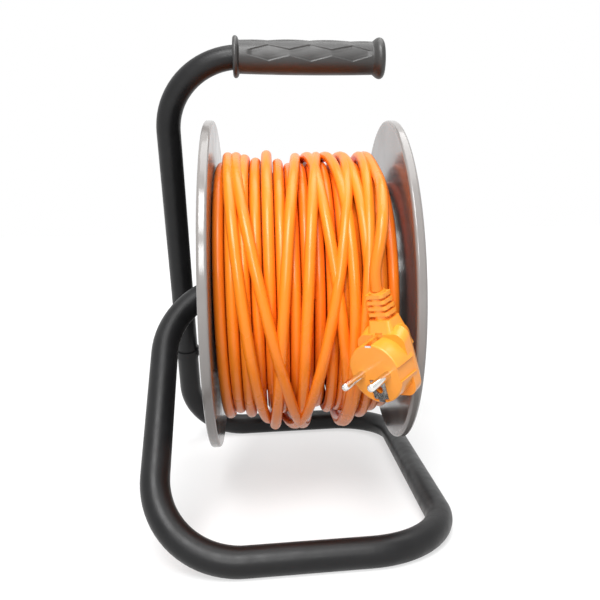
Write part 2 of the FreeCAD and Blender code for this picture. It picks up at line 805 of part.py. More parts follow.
def make_socket_tray():
    half = k.tray_size / 2
    inside = half - k.tray_wall
    shell = trimmed(box((tray_back_x, -half, k.axle_z - half),
                        (tray_front_x, half, k.axle_z + half)), k.tray_corner_d)
    hollow = trimmed(box((tray_inside_x, -inside, k.axle_z - inside),
                         (tray_front_x + 1.0, inside, k.axle_z + inside)),
                     k.tray_corner_d - 2 * k.tray_wall)
    holes = [hollow]
    for y, z in around(tray_post_r):
        holes.append(rod(tray_screw_d + 2 * k.side_gap, (tray_back_x - 1.0, y, z),
                         k.tray_wall + 2.0, "x"))
    holes.append(rod(10.0, (tray_back_x - 1.0, lead_hole_y, k.axle_z + lead_hole_z),
                     k.tray_wall + 2.0, "x"))
    seat = rod(8.0, (tray_inside_x - 0.2, 0, k.axle_z), cutout_x - tray_inside_x + 0.2, "x")
    node("socket_tray", join(cut(shell, *holes), seat))
    screws = [flat_screw(tray_screw_d, tray_screw_length, tray_screw_head_d, tray_screw_head,
                         (tray_back_x, y, z), -1) for y, z in around(tray_post_r)]
    node("socket_tray_screws", group(*screws))


def make_pin_bar(name, hand, cross_z):
    """Contact sleeves on two upright strips with a cross strip behind them."""
    solids = []
    holes = []
    columns = []
    for side_y in (-1, 1):
        y = side_y * half_pitch + hand * side_y * k.pin_pitch / 2
        columns.append(y)
        solids.append(box((strip_x, y - 2.5, k.axle_z - half_pitch),
                          (strip_x + strip, y + 2.5, k.axle_z + half_pitch)))
        solids.append(box((cross_x, y - 2.5, k.axle_z + cross_z - 2.0),
                          (strip_x + strip, y + 2.5, k.axle_z + cross_z + 2.0)))
        for side_z in (-1, 1):
            z = k.axle_z + side_z * half_pitch
            solids.append(rod(sleeve_d, (strip_x, y, z), tray_front_x - strip_x, "x"))
            holes.append(rod(k.pin_d - 0.2, (strip_x + strip, y, z), tray_front_x - strip_x, "x"))
            holes.append(box((strip_x + strip + 2.0, y - 4.0, z - 0.4),
                             (tray_front_x + 1.0, y + 4.0, z + 0.4)))
    low = min(columns, key=lambda column: column.value)
    high = max(columns, key=lambda column: column.value)
    solids.append(box((cross_x, low - 2.5, k.axle_z + cross_z - 2.0),
                      (cross_x + strip, high + 2.5, k.axle_z + cross_z + 2.0)))
    node(name, cut(join(*solids), *holes))


def make_earth_bar():
    """Two upright strips with fingers that stand in the wells, joined across."""
    finger = k.well_d / 2 - 2.0
    half = k.pin_pitch / 2
    solids = []
    for side_y in (-1, 1):
        y = side_y * half_pitch
        solids.append(box((earth_x, y - 3.0, k.axle_z - half_pitch - finger - 0.5),
                          (earth_x + strip, y + 3.0, k.axle_z + half_pitch + finger + 0.5)))
        for side_z in (-1, 1):
            for hand in (-1, 1):
                z = k.axle_z + side_z * half_pitch + hand * finger
                solids.append(box((earth_x, y - 3.0, z - 0.5),
                                  (rim_front_x - 5.0, y + 3.0, z + 0.5)))
    solids.append(box((earth_x, -half_pitch, k.axle_z + earth_cross_z - 2.5),
                      (earth_x + strip, half_pitch, k.axle_z + earth_cross_z + 2.5)))
    node("earth_bar", join(*solids))


def make_cutout():
    """Thermal cut-out on the plate's axis, with its reset button and spring."""
    stem_d = size(5.0)
    body = rod(cutout_d, (cutout_x, 0, k.axle_z), cutout_length, "x")
    socket_x = cutout_x + cutout_length - 8.0
    socket = rod(stem_d + 2 * k.run_gap, (socket_x, 0, k.axle_z), 10.0, "x")
    tabs = []
    for hand in (-1, 1):
        near, far = sorted((hand * 8.0, hand * tab_reach))
        tabs.append(box((tab_x, near, k.axle_z + tab_z),
                        (tab_x + 4.0, far, k.axle_z + tab_z + 0.8)))
    node("thermal_cutout", cut(join(body, *tabs), socket))
    cap_x = plate_back_x
    proud = k.button_travel + 0.8
    cap_end = plate_front_x + proud
    stem_x = cutout_x + cutout_length - 4.0
    profile = [(0, 0), (0, stem_d / 2), (cap_x - stem_x, stem_d / 2),
               (cap_x - stem_x, k.button_d / 2), (cap_end - stem_x, k.button_d / 2),
               (cap_end - stem_x, 0)]
    button = turned("reset_button", profile, (stem_x, 0, k.axle_z))
    soften(button, [(cap_end - stem_x, k.button_d / 2)], 1.0)
    node("reset_button", button)
    spring_x = cutout_x + cutout_length + k.side_gap
    wire_d = 0.6
    length = (cap_x - spring_x - k.side_gap).value
    coil = spring(3.6, wire_d, length, 5)
    node("reset_spring", own_shape("reset_spring", coil, spot(spring_x, 0, k.axle_z),
                                   ALONG["x"]))


def spring(radius, wire_d, length, coils):
    """A coil spring from the origin up z, inside its length."""
    rise = length - wire_d
    helix = Part.makeHelix(rise / coils, rise, radius)
    start = Vector(radius, 0, 0)
    circle = Part.Circle(start, Vector(0, 1, 0), wire_d / 2)
    coil = Part.Wire(helix.Edges).makePipeShell([Part.Wire([circle.toShape()])], True, True)
    coil.translate(Vector(0, 0, wire_d / 2))
    return coil


def make_lids():
    """Four sprung lids, hinged above the upper wells and below the lower ones."""
    pins = []
    springs = []
    half = k.lid_size / 2
    lid_x = rim_front_x + k.side_gap
    barrel_inner = size(4.8)
    barrel_outer = ear_reach - ear_width - k.side_gap
    for number, (y, z, side) in enumerate(wells, 1):
        z = k.axle_z + z
        pin_z = z + side * k.lid_hinge
        ends = sorted((pin_z, z - side * (half - 0.5)), key=lambda end: end.value)
        cover = box((lid_x, y - half, ends[0]), (lid_x + k.lid, y + half, ends[1]))
        solids = [cover]
        holes = []
        for hand in (-1, 1):
            low_y = y + barrel_inner if hand > 0 else y - barrel_outer
            solids.append(rod(k.knuckle_d, (hinge_x, low_y, pin_z),
                              barrel_outer - barrel_inner, "y"))
            corner = y + hand * half
            low_corner = corner - 8.0 if hand > 0 else corner - 1.0
            near = pin_z - side * (k.knuckle_d / 2 + 1.0)
            far = pin_z + side * 6.0
            low_z, high_z = sorted((near, far), key=lambda end: end.value)
            notch_y = y + hand * barrel_outer if hand > 0 else y - half - 1.0
            notch_end = y + half + 1.0 if hand > 0 else y - barrel_outer
            holes.append(box((lid_x - 3.0, notch_y, low_z), (lid_x + 6.0, notch_end, high_z)))
        window = sorted((pin_z + side * 6.0, pin_z - side * 9.0), key=lambda end: end.value)
        holes.append(box((lid_x - 3.0, y - barrel_inner, window[0]),
                         (lid_x + 6.0, y + barrel_inner, window[1])))
        holes.append(rod(k.lid_pin_d + 2 * k.run_gap, (hinge_x, y - ear_reach, pin_z),
                         2 * ear_reach, "y"))
        holes.append(rod(k.button_d + 4.0, (lid_x - 1.0, 0, k.axle_z), k.lid + 2.0, "x"))
        lip_low, lip_high = sorted((z - side * (half - 0.5), z - side * (half - 3.5)),
                                   key=lambda end: end.value)
        solids.append(box((lid_x + k.lid - 0.5, y - 8.0, lip_low),
                          (lid_x + k.lid + 2.0, y + 8.0, lip_high)))
        node(f"socket_lid_{number}", cut(join(*solids), *holes))
        pins.append(rod(k.lid_pin_d, (hinge_x, y - ear_reach, pin_z), 2 * ear_reach, "y"))
        length = 2 * barrel_inner.value - 2 * k.side_gap.value
        coil = spring(2.2, 0.6, length, 7)
        start = spot(hinge_x, y - barrel_inner + k.side_gap, pin_z)
        coil.Placement = Placement(start, ALONG["y"])
        springs.append(coil)
    node("lid_pins", group(*pins))
    node("lid_springs", own_shape("lid_springs", Part.makeCompound(springs)))


# Winding knob on its pin

def make_crank():
    boss_x = drum_right_x + 7.5
    washer = size(1.2)
    washer_x = boss_x + 0.05
    pin_end_x = k.knob_end_x - 5.0
    head = size(3.0)
    pin_start = boss_x - 5.9
    pin_r = k.crank_pin_d / 2
    length = pin_end_x - pin_start
    head_r = size(7.0)
    profile = [(0, 0), (0, pin_r), (length, pin_r), (length, head_r),
               (length + head, head_r), (length + head, 0)]
    start = (pin_start, k.crank_radius, k.axle_z)
    pin = turned("crank_pin", profile, start)
    soften(pin, [(length + head, head_r)], 1.5)
    node("crank_pin", pin)
    node("crank_washer", ring("crank_washer", k.crank_pin_d + 0.2, 18.0,
                              (washer_x, k.crank_radius, k.axle_z), washer))
    knob_x = washer_x + washer + k.side_gap
    seat = pin_end_x - k.side_gap - knob_x
    end = k.knob_end_x - knob_x
    bore = pin_r + k.run_gap
    full = k.knob_d / 2
    profile = [
        (0, bore), (0, full - 3.5), (2.5, full - 2.5), (end * 0.28, full - 4.5),
        (end * 0.5, full - 3.4), (end * 0.75, full - 0.6), (end * 0.88, full),
        (end, full - 2.0), (end, head_r + 1.0), (seat, head_r + 1.0), (seat, bore),
    ]
    knob = turned("crank_knob", profile, (knob_x, k.crank_radius, k.axle_z))
    soften(knob, [(end, full - 2.0)], 1.2)
    node("crank_knob", knob)


# Cord inside the drum: inlet, clamp and leads

INLET_ANGLE = 225.0
inlet_turn = Rotation(Vector(1, 0, 0), INLET_ANGLE) * ALONG["y"]
inlet_way = Rotation(Vector(1, 0, 0), INLET_ANGLE).multVec(Vector(0, 1, 0))


def inside_spot(reach, x=None, side=0.0):
    """A point on the inlet's radius, from the axle."""
    across = Vector(1, 0, 0).cross(inlet_way)
    point = inlet_way * reach + across * side
    return Vector(cord_inlet_x.value if x is None else x, point.y, point.z + k.axle_z.value)


def make_inner_cord():
    outer = core_d.value / 2
    inner_end = 37.0
    cord_r = k.cord_d.value / 2
    length = outer - inner_end
    piece = Part.makeCylinder(cord_r, length, inside_spot(inner_end), inlet_way)
    node("inner_cord", own_shape("inner_cord", piece))
    saddle_size = (7.0, 26.0, 9.0)
    saddle_back = tray_back_x.value
    saddle = Part.makeBox(saddle_size[0], saddle_size[1], saddle_size[2],
                          Vector(-saddle_size[0], -saddle_size[1] / 2, -saddle_size[2] / 2))
    middle = 44.5
    saddle_turn = Rotation(Vector(1, 0, 0), INLET_ANGLE + 90)
    saddle.Placement = Placement(inside_spot(middle, saddle_back), saddle_turn)
    channel = Part.makeCylinder(cord_r + k.fit_gap.value, 40.0, inside_spot(inner_end - 8), inlet_way)
    trim = Part.makeBox(20.0, 200.0, 400.0,
                        Vector(saddle_back, -100.0, 0.0))
    screws = []
    saddle = saddle.cut(channel).cut(trim)
    for hand in (-1, 1):
        seat = inside_spot(middle, saddle_back - saddle_size[0], hand * 9.3)
        hole = Part.makeCylinder(1.3 + k.fit_gap.value, 20.0, seat - Vector(1, 0, 0), Vector(1, 0, 0))
        saddle = saddle.cut(hole)
        shank = Part.makeCylinder(1.3, saddle_size[0] - 0.3, seat, Vector(1, 0, 0))
        head = Part.makeCylinder(2.4, 1.6, seat - Vector(1.6, 0, 0), Vector(1, 0, 0))
        screws.append(shank.fuse(head))
    node("cord_clamp", own_shape("cord_clamp", saddle))
    node("cord_clamp_screws", own_shape("cord_clamp_screws", Part.makeCompound(screws)))
    make_leads(inside_spot(inner_end))


def make_leads(end):
    """Three insulated leads from the cord's end, through the tray, to cut-out and bars."""
    lead_d = 2.2
    bend = 3.2
    spread = 2.6
    axle = k.axle_z.value
    across = Vector(1, 0, 0).cross(inlet_way)
    tab = Vector(tab_x.value + 2.0, -10.8, axle + tab_z.value)
    strip_y = -(half_pitch + k.pin_pitch / 2).value
    neutral_z = axle - 12.0
    routes = {
        "live_lead": (spread, [Vector(tab.x, tab.y, axle - 8.0), tab]),
        "neutral_lead": (-spread, [Vector(tab_x.value, strip_y, neutral_z),
                                   Vector((strip_x + strip).value, strip_y, neutral_z)]),
        "earth_lead": (0.0, []),
    }
    for name, (side, ahead) in routes.items():
        start = end + across * side
        entry_y = lead_hole_y.value + across.y * side
        entry_z = axle + lead_hole_z.value + across.z * side
        reach_x = ahead[0].x if ahead else earth_x.value
        points = [start, Vector(start.x, entry_y, entry_z), Vector(reach_x, entry_y, entry_z)]
        points += ahead
        radii = [min(bend, 0.45 * (a - b).Length, 0.45 * (b - c).Length)
                 for a, b, c in zip(points, points[1:], points[2:])]
        node(name, own_shape(name, swept(bent_path(points, radii), lead_d)))


# Wound cord: plain inner layers, then the outer turns as one tube

LAYER_TURNS = 13
CLIMB_TURNS = 0.5
CROSS_TURNS = 3.56
WOUND_LEFT = k.drum_left_x.value + 4.7
WOUND_RIGHT = drum_right_x.value - 5.5
LAYER_RADIUS = (wound_d + k.cord_d).value / 2 + 6.65
CROSS_RADIUS = LAYER_RADIUS + k.cord_d.value + 1.5
CROSS_END = drum_right_x.value - 13.5
SAG = 5.2
TILT = 3.4


def smooth_step(share):
    """From 0 to 1, level at both ends."""
    share = min(1.0, max(0.0, share))
    return share * share * (3 - 2 * share)


def turn_point(turns):
    """The cord's centre after so many turns: first a full layer to the left, then a few
    steep turns back to the right over it. Turn 0 is at the top, and the front goes down."""
    angle = 2 * math.pi * turns
    layer = LAYER_TURNS + CLIMB_TURNS
    lean = 0.0
    if turns <= LAYER_TURNS:
        share = turns / LAYER_TURNS
        x = WOUND_RIGHT + (WOUND_LEFT - WOUND_RIGHT) * share
        lean = TILT * math.sin(math.pi * share) ** 2
        radius = LAYER_RADIUS + 0.5 * math.sin(2.4 * angle / (2 * math.pi) * math.pi)
    elif turns <= layer:
        x = WOUND_LEFT
        share = (turns - LAYER_TURNS) / CLIMB_TURNS
        radius = LAYER_RADIUS + (CROSS_RADIUS - LAYER_RADIUS) * smooth_step(share)
    else:
        share = (turns - layer) / CROSS_TURNS
        x = WOUND_LEFT + (CROSS_END - WOUND_LEFT) * (0.25 * smooth_step(share) + 0.75 * share)
        lean = -2.0 * math.sin(math.pi * share) ** 2
        radius = CROSS_RADIUS + 1.2 * math.sin(math.pi * share) ** 2
    radius -= SAG * math.cos(angle)
    x += lean * math.sin(angle)
    return Vector(x, -radius * math.sin(angle), k.axle_z.value + radius * math.cos(angle))


def heading_at(turns):
    """Direction of the cord at a turn."""
    step = 1e-4
    return (turn_point(turns + step) - turn_point(turns - step)).normalize()


def arc_from(start, way, end):
    """The arc that leaves a point along a direction and reaches another point."""
    chord = end - start
    line = Vector(chord).normalize()
    bulge = way - line * way.dot(line)
    if bulge.Length < 1e-7:
        return Part.LineSegment(start, end).toShape()
    half = way.getAngle(chord)
    rise = chord.Length / 2 * math.tan(half / 2)
    middle = (start + end) / 2 + bulge.normalize() * rise
    return Part.Arc(start, middle, end).toShape()


def two_arcs(start, way, end, end_way):
    """Two arcs that join smoothly between two points and directions."""
    chord = end - start
    ways = way + end_way
    spread = 2 * (1 - way.dot(end_way))
    along = chord.dot(ways)
    reach = (-along + math.sqrt(along * along + spread * chord.dot(chord))) / spread
    meeting = (start + way * reach + end - end_way * reach) / 2
    first = arc_from(start, way, meeting)
    second = arc_from(end, -end_way, meeting)
    return [first, second]


def least_gap(points, diameter, apart):
    """Smallest distance between two stretches of a cord, less its diameter."""
    nearest = 1e9
    cells = {}
    for index, point in enumerate(points):
        key = tuple(int(math.floor(value / 12.0)) for value in point)
        cells.setdefault(key, []).append(index)
    for (cell_x, cell_y, cell_z), members in cells.items():
        around_here = [other for step_x in (-1, 0, 1) for step_y in (-1, 0, 1)
                       for step_z in (-1, 0, 1)
                       for other in cells.get((cell_x + step_x, cell_y + step_y, cell_z + step_z), [])]
        for one in members:
            for other in around_here:
                if other - one > apart:
                    nearest = min(nearest, points[one].distanceToPoint(points[other]))
    return nearest - diameter


def make_wound_cord():
    side = k.side_gap
    inner = core_d + 2 * k.side_gap
    node("cord_inner_layers", ring("cord_inner_layers", inner, wound_d,
                                   (k.drum_left_x + side, 0, k.axle_z),
                                   k.drum_width - 2 * side))
    diameter = k.cord_d.value
    start_turn = 0.1
    end_turn = LAYER_TURNS + CLIMB_TURNS + CROSS_TURNS
    quarters = int(round((end_turn - start_turn) * 4))
    marks = [start_turn + (end_turn - start_turn) * step / quarters for step in range(quarters + 1)]
    stops = [turn_point(mark) for mark in marks]
    ways = [heading_at(mark) for mark in marks]
    lead_in = Part.LineSegment(stops[0] - ways[0] * diameter, stops[0]).toShape()
    lead_out = Part.LineSegment(stops[-1], stops[-1] + ways[-1] * diameter).toShape()
    edges = [lead_in]
    for index in range(quarters):
        edges += two_arcs(stops[index], ways[index], stops[index + 1], ways[index + 1])
    edges.append(lead_out)
    path = Part.Wire(Part.__sortEdges__(edges))
    tube = swept(path, diameter)
    samples = path.discretize(Distance=2.0)
    print("outer turns", round(end_turn - start_turn, 2), "length", round(path.Length, 1),
          "least gap", round(least_gap(samples, diameter, 20), 3))
    expected = math.pi * diameter ** 2 / 4 * path.Length
    print("outer turns volume over section times length", round(tube.Volume / expected, 4))
    node("cord_outer_turns", own_shape("cord_outer_turns", tube))
    return stops[-1] + ways[-1] * diameter, ways[-1]


# Plug, built upright at the origin: its face looks along -y and its cord leaves along +z

PLUG_TURN = Rotation(-46.0, -6.3, 14.6)
# Points of the hanging end: from the right flange inwards, front to back and height
TAIL_POINTS = [(-15.5, -88.0, 227.0), (-19.0, -109.0, 214.0), (-24.5, -119.0, 197.0)]
plug_x = drum_right_x - k.plug_inset


def plug_placement():
    return Placement(spot(plug_x, k.plug_y, k.plug_z), PLUG_TURN)


def from_plug(x, y, z):
    """A point given in the plug's own directions."""
    return plug_placement().multVec(Vector(x, y, z))


def disc(radius, y, depth):
    return Part.makeCylinder(radius, depth, Vector(0, y, 0), Vector(0, 1, 0))


def section(y, half_width, low, high, corner):
    """A rounded rectangle across y, as one closed wire of lines and arcs."""
    left, right = -half_width, half_width
    turns = [(right - corner, low + corner, 270), (right - corner, high - corner, 0),
             (left + corner, high - corner, 90), (left + corner, low + corner, 180)]
    edges = []
    points = []
    for centre_x, centre_z, start in turns:
        arc = []
        for angle in (start, start + 45, start + 90):
            way = math.radians(angle)
            arc.append(Vector(centre_x + corner * math.cos(way), y,
                              centre_z + corner * math.sin(way)))
        points.append(arc)
    for index, arc in enumerate(points):
        edges.append(Part.Arc(*arc).toShape())
        following = points[(index + 1) % len(points)]
        edges.append(Part.LineSegment(arc[2], following[0]).toShape())
    return Part.Wire(edges)


def make_plug():
    face_r = k.plug_face_d.value / 2
    neck_y = k.plug_neck_y.value
    neck_z = k.plug_neck_z.value
    cord_r = k.cord_d.value / 2
    front = disc(face_r, 0, 17.0)
    front = front.makeFillet(1.0, [edge for edge in front.Edges
                                   if isinstance(edge.Curve, Part.Circle)
                                   and abs(edge.Curve.Center.y) < 1e-6])
    hand = Part.makeLoft([section(12.5, 17.6, -19.5, 20.0, 7.0),
                          section(20.0, 17.0, -19.0, 23.0, 7.0),
                          section(27.0, 12.5, -14.0, 22.0, 6.0),
                          section(32.0, 8.0, -9.0, 18.0, 4.0)], True, True)
    neck = Part.makeLoft([neck_section(8.0, 12.0, 10.0, neck_y - 1.0, 3.0),
                          neck_section(20.0, 9.4, 8.6, neck_y - 0.5, 3.0),
                          neck_section(27.5, 8.0, 6.6, neck_y, 2.5)], True, True)
    sleeve = Part.makeCylinder(cord_r + 1.5, neck_z - 26.0, Vector(0, neck_y, 26.0))
    body = front.fuse([hand, neck, sleeve])
    rib_count = 4
    rib_step = (neck_z - 29.5) / rib_count
    for number in range(rib_count):
        low = 30.0 + number * rib_step
        half_width = 7.6 - 0.3 * number
        rib = Part.makeLoft([neck_section(low, half_width, 5.6, neck_y, 2.0),
                             neck_section(low + 2.2, half_width, 5.6, neck_y, 2.0)], True, True)
        body = body.fuse(rib)
    for side in (-1, 1):
        flat = Part.makeBox(4.0, 18.0, 9.0, Vector(side * (face_r - 1.6) - 2.0 + side * 2.0, -1.0, -4.5))
        body = body.cut(flat)
    pins = []
    embed = 4.0
    for side in (-1, 1):
        middle = side * k.pin_pitch.value / 2
        pin_r = k.pin_d.value / 2
        length = k.pin_length.value
        pin = Part.makeCylinder(pin_r, length + embed, Vector(middle, embed, 0), Vector(0, -1, 0))
        tip = [edge for edge in pin.Edges if isinstance(edge.Curve, Part.Circle)
               and abs(edge.Curve.Center.y + length) < 1e-6]
        pins.append(pin.makeFillet(1.6, tip))
        body = body.cut(Part.makeCylinder(pin_r + 0.02, embed + 1.0, Vector(middle, embed + 0.02, 0),
                                          Vector(0, -1, 0)))
    earth, recesses = make_earth_contact(face_r)
    body = body.cut(recesses)
    socket = Part.makeCylinder(2.6, 14.0, Vector(0, -1.0, -10.0), Vector(0, 1, 0))
    body = body.cut(socket)
    end = Part.makeBox(40.0, 40.0, 40.0, Vector(-20.0, neck_y - 20.0, neck_z))
    body = body.cut(end).removeSplitter()
    here = plug_placement()
    for name, shape in (("plug_body", body), ("plug_pins", Part.makeCompound(pins)),
                        ("plug_earth_contact", Part.makeCompound(earth))):
        node(name, own_shape(name, shape, here.Base, here.Rotation))


def neck_section(z, half_width, half_depth_y, middle_y, corner):
    """A rounded rectangle across z."""
    edges = []
    points = []
    turns = [(half_width - corner, corner - half_depth_y, 270),
             (half_width - corner, half_depth_y - corner, 0),
             (corner - half_width, half_depth_y - corner, 90),
             (corner - half_width, corner - half_depth_y, 180)]
    for centre_x, centre_y, start in turns:
        arc = []
        for angle in (start, start + 45, start + 90):
            way = math.radians(angle)
            arc.append(Vector(centre_x + corner * math.cos(way),
                              middle_y + centre_y + corner * math.sin(way), z))
        points.append(arc)
    for index, arc in enumerate(points):
        edges.append(Part.Arc(*arc).toShape())
        following = points[(index + 1) % len(points)]
        edges.append(Part.LineSegment(arc[2], following[0]).toShape())
    return Part.Wire(edges)


def centred_box(half_width, low_y, high_y, low_z, high_z):
    """A block across the plug's middle."""
    return Part.makeBox(2 * half_width, high_y - low_y, high_z - low_z,
                        Vector(-half_width, low_y, low_z))


def make_earth_contact(face_r):
    """The plate round the earth hole with its side strip, the other strip, and their recesses."""
    sunk = 0.2
    sheet_t = 1.0
    seat = face_r - 1.85
    strip_t = 1.25
    strip_w = 2.2
    strip_end = 14.2
    plate_low = -16.2
    hole = Part.makeCylinder(2.6, 4.0, Vector(0, -1.0, -10.0), Vector(0, 1, 0))
    plate = centred_box(5.2, sunk, sunk + sheet_t, plate_low, -4.2).cut(hole)
    bridge = centred_box(strip_w, sunk, sunk + sheet_t, -seat - 0.1, plate_low + 0.1)
    lower = centred_box(strip_w, sunk, strip_end, -seat - strip_t, -seat)
    upper = centred_box(strip_w, sunk, strip_end, seat, seat + strip_t)
    recesses = [
        centred_box(5.7, -1.0, sunk + sheet_t, plate_low - 0.9, -3.7),
        centred_box(strip_w + 0.4, -1.0, strip_end, -face_r - 2.0, -seat),
        centred_box(strip_w + 0.4, -1.0, strip_end, seat, face_r + 2.0),
    ]
    return [plate.fuse([bridge, lower]).removeSplitter(), upper], recesses


def make_tail(start, way):
    """The free end of the cord, from the winding's top down to the plug."""
    diameter = k.cord_d.value
    end = from_plug(0, k.plug_neck_y.value, k.plug_neck_z.value)
    up = PLUG_TURN.multVec(Vector(0, 0, 1))
    points = [start, start + way * 26.0]
    points += [Vector(drum_right_x.value + x, y, z) for x, y, z in TAIL_POINTS]
    points += [end + up * 16.0, end]
    runs = [(a - b).Length for a, b in zip(points, points[1:])]
    print("tail runs", [round(run, 1) for run in runs])
    path = bent_path(points, route_radii(points, "tail"))
    tube = swept(path, diameter)
    expected = math.pi * diameter ** 2 / 4 * path.Length
    print("tail length", round(path.Length, 1), "volume over section times length",
          round(tube.Volume / expected, 4))
    node("cord_tail", own_shape("cord_tail", tube))


make_frame_tube()
make_grip()
make_brake_clip()
make_axle_parts()
make_left_flange()
make_right_flange()
make_core()
make_bushes()
make_flange_screws()
make_socket_plate()
make_socket_tray()
make_pin_bar("live_bar", -1, size(7.0))
make_pin_bar("neutral_bar", 1, size(-7.0))
make_earth_bar()
make_cutout()
make_lids()
make_crank()
make_inner_cord()
tail_start, tail_way = make_wound_cord()
make_plug()
make_tail(tail_start, tail_way)

doc.recompute()

for thing in doc.Objects:
    if "Invalid" in thing.State or "Error" in thing.State:
        raise RuntimeError(f"{thing.Label} failed: {thing.State}")
for thing, base in cuts:
    if thing.Shape.Volume >= base.Shape.Volume:
        raise RuntimeError(f"{thing.Label} cuts nothing")
for name, thing in nodes.items():
    if thing.Shape.isNull() or not thing.Shape.isValid():
        raise RuntimeError(f"{name} is not a valid solid")

os.makedirs("parts", exist_ok=True)
for name, thing in nodes.items():
    thing.Shape.exportStep(f"parts/{name}.step")
print(len(nodes), "nodes")
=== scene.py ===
import math

import bpy
import numpy as np
from bpy.props import FloatProperty, FloatVectorProperty, PointerProperty
from mathutils import Matrix, Vector


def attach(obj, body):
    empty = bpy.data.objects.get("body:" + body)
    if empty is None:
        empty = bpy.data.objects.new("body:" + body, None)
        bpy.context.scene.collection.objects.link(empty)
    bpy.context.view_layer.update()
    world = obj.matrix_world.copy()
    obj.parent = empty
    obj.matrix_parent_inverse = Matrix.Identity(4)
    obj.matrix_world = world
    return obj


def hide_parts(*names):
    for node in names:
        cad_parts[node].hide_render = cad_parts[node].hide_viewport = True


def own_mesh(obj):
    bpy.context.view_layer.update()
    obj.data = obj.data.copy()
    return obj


bl_info = {
    "name": "Extension cord reel",
    "version": (1, 0, 0),
    "blender": (4, 5, 0),
    "location": "3D View > Sidebar > Cord Reel",
    "description": "Dresses the cord reel: wound cord, patterned grip, finishes and stage",
    "category": "Object",
}

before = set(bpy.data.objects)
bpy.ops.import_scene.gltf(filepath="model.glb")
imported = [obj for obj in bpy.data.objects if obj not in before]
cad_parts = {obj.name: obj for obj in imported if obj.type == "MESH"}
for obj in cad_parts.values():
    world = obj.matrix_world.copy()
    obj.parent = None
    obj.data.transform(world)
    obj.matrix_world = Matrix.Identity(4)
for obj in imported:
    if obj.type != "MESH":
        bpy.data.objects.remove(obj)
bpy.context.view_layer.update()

# Height of the drum's axle over the floor, in metres
AXLE_Z = 0.1575


# Settings that a user would change

class ReelCordSettings(bpy.types.PropertyGroup):
    diameter: FloatProperty(
        name="Cord diameter", description="Outside diameter of the cord",
        default=0.0075, min=0.004, max=0.012, subtype="DISTANCE", unit="LENGTH")
    colour: FloatVectorProperty(
        name="Cord colour", description="Colour of the cord's sheath",
        default=(0.93, 0.235, 0.012), size=3, min=0.0, max=1.0, subtype="COLOR")
    # Painted shade: a deeper orange-red mixed into the sheath on the covered inner turns,
    # fuller towards the axle; the cord itself is one colour
    painted_shade_colour: FloatVectorProperty(
        name="Painted shade colour", description="Deeper colour of the cord's covered turns",
        default=(0.74, 0.075, 0.003), size=3, min=0.0, max=1.0, subtype="COLOR")
    roughness: FloatProperty(
        name="Cord roughness", description="How dull the sheath is",
        default=0.3, min=0.0, max=1.0, subtype="FACTOR")


class ReelGripSettings(bpy.types.PropertyGroup):
    middle_radius: FloatProperty(
        name="Grip radius", description="Radius of the grip at its middle",
        default=0.0128, min=0.011, max=0.015, subtype="DISTANCE", unit="LENGTH")
    relief: FloatProperty(
        name="Relief depth", description="Depth of the diamond chains in the grip",
        default=0.0009, min=0.0, max=0.0015, subtype="DISTANCE", unit="LENGTH")
    colour: FloatVectorProperty(
        name="Grip colour", description="Colour of the grip",
        default=(0.022, 0.021, 0.020), size=3, min=0.0, max=1.0, subtype="COLOR")


class ReelBodySettings(bpy.types.PropertyGroup):
    steel_colour: FloatVectorProperty(
        name="Frame colour", description="Colour of the coated frame tube",
        default=(0.007, 0.007, 0.0075), size=3, min=0.0, max=1.0, subtype="COLOR")
    flange_colour: FloatVectorProperty(
        name="Flange colour", description="Colour of the drum's flanges",
        default=(0.150, 0.140, 0.134), size=3, min=0.0, max=1.0, subtype="COLOR")
    plug_colour: FloatVectorProperty(
        name="Plug colour", description="Colour of the moulded plug",
        default=(0.96, 0.34, 0.03), size=3, min=0.0, max=1.0, subtype="COLOR")


class ReelStageSettings(bpy.types.PropertyGroup):
    floor_colour: FloatVectorProperty(
        name="Floor colour", description="Colour of the floor",
        default=(0.42, 0.42, 0.42), size=3, min=0.0, max=1.0, subtype="COLOR")
    key_power: FloatProperty(
        name="Key lamp", description="Power of the large lamp above the front",
        default=34.0, min=0.0, max=200.0, unit="POWER")


# Meshes

def make_mesh(name, verts, faces, smooth=True):
    """A new mesh object at the origin from points and faces."""
    mesh = bpy.data.meshes.new(name)
    mesh.from_pydata(np.asarray(verts, dtype=float).tolist(), [], faces)
    mesh.validate()
    mesh.polygons.foreach_set("use_smooth", np.full(len(mesh.polygons), smooth))
    mesh.update()
    piece = bpy.data.objects.new(name, mesh)
    bpy.context.scene.collection.objects.link(piece)
    return piece


def face_outwards(mesh):
    """Turn a closed mesh's faces round if the volume they hold comes out negative."""
    mesh.calc_loop_triangles()
    corners = np.zeros(len(mesh.loop_triangles) * 3, dtype=np.int32)
    mesh.loop_triangles.foreach_get("vertices", corners)
    points = np.zeros(len(mesh.vertices) * 3)
    mesh.vertices.foreach_get("co", points)
    a, b, c = points.reshape(-1, 3)[corners.reshape(-1, 3)].transpose(1, 0, 2)
    if np.einsum("ij,ij->i", a, np.cross(b, c)).sum() < 0:
        mesh.flip_normals()


def turned_grid(rings, around):
    """Faces of a closed turned shell: rows of points from pole to pole, joined round and
    along, and one fan of triangles at each pole."""
    ring = np.arange(around)
    after = (ring + 1) % around
    row = np.arange(rings - 1)[:, None] * around
    quads = np.stack([row + ring, row + after, row + after + around, row + ring + around], 2)
    faces = quads.reshape(-1, 4).tolist()
    first = rings * around
    last_row = (rings - 1) * around
    faces += [[first, b, a] for a, b in zip(ring.tolist(), after.tolist())]
    faces += [[first + 1, last_row + a, last_row + b]
              for a, b in zip(ring.tolist(), after.tolist())]
    return faces


def smooth_step(share):
    """From 0 to 1, level at both ends."""
    share = np.clip(share, 0.0, 1.0)
    return share * share * (3 - 2 * share)


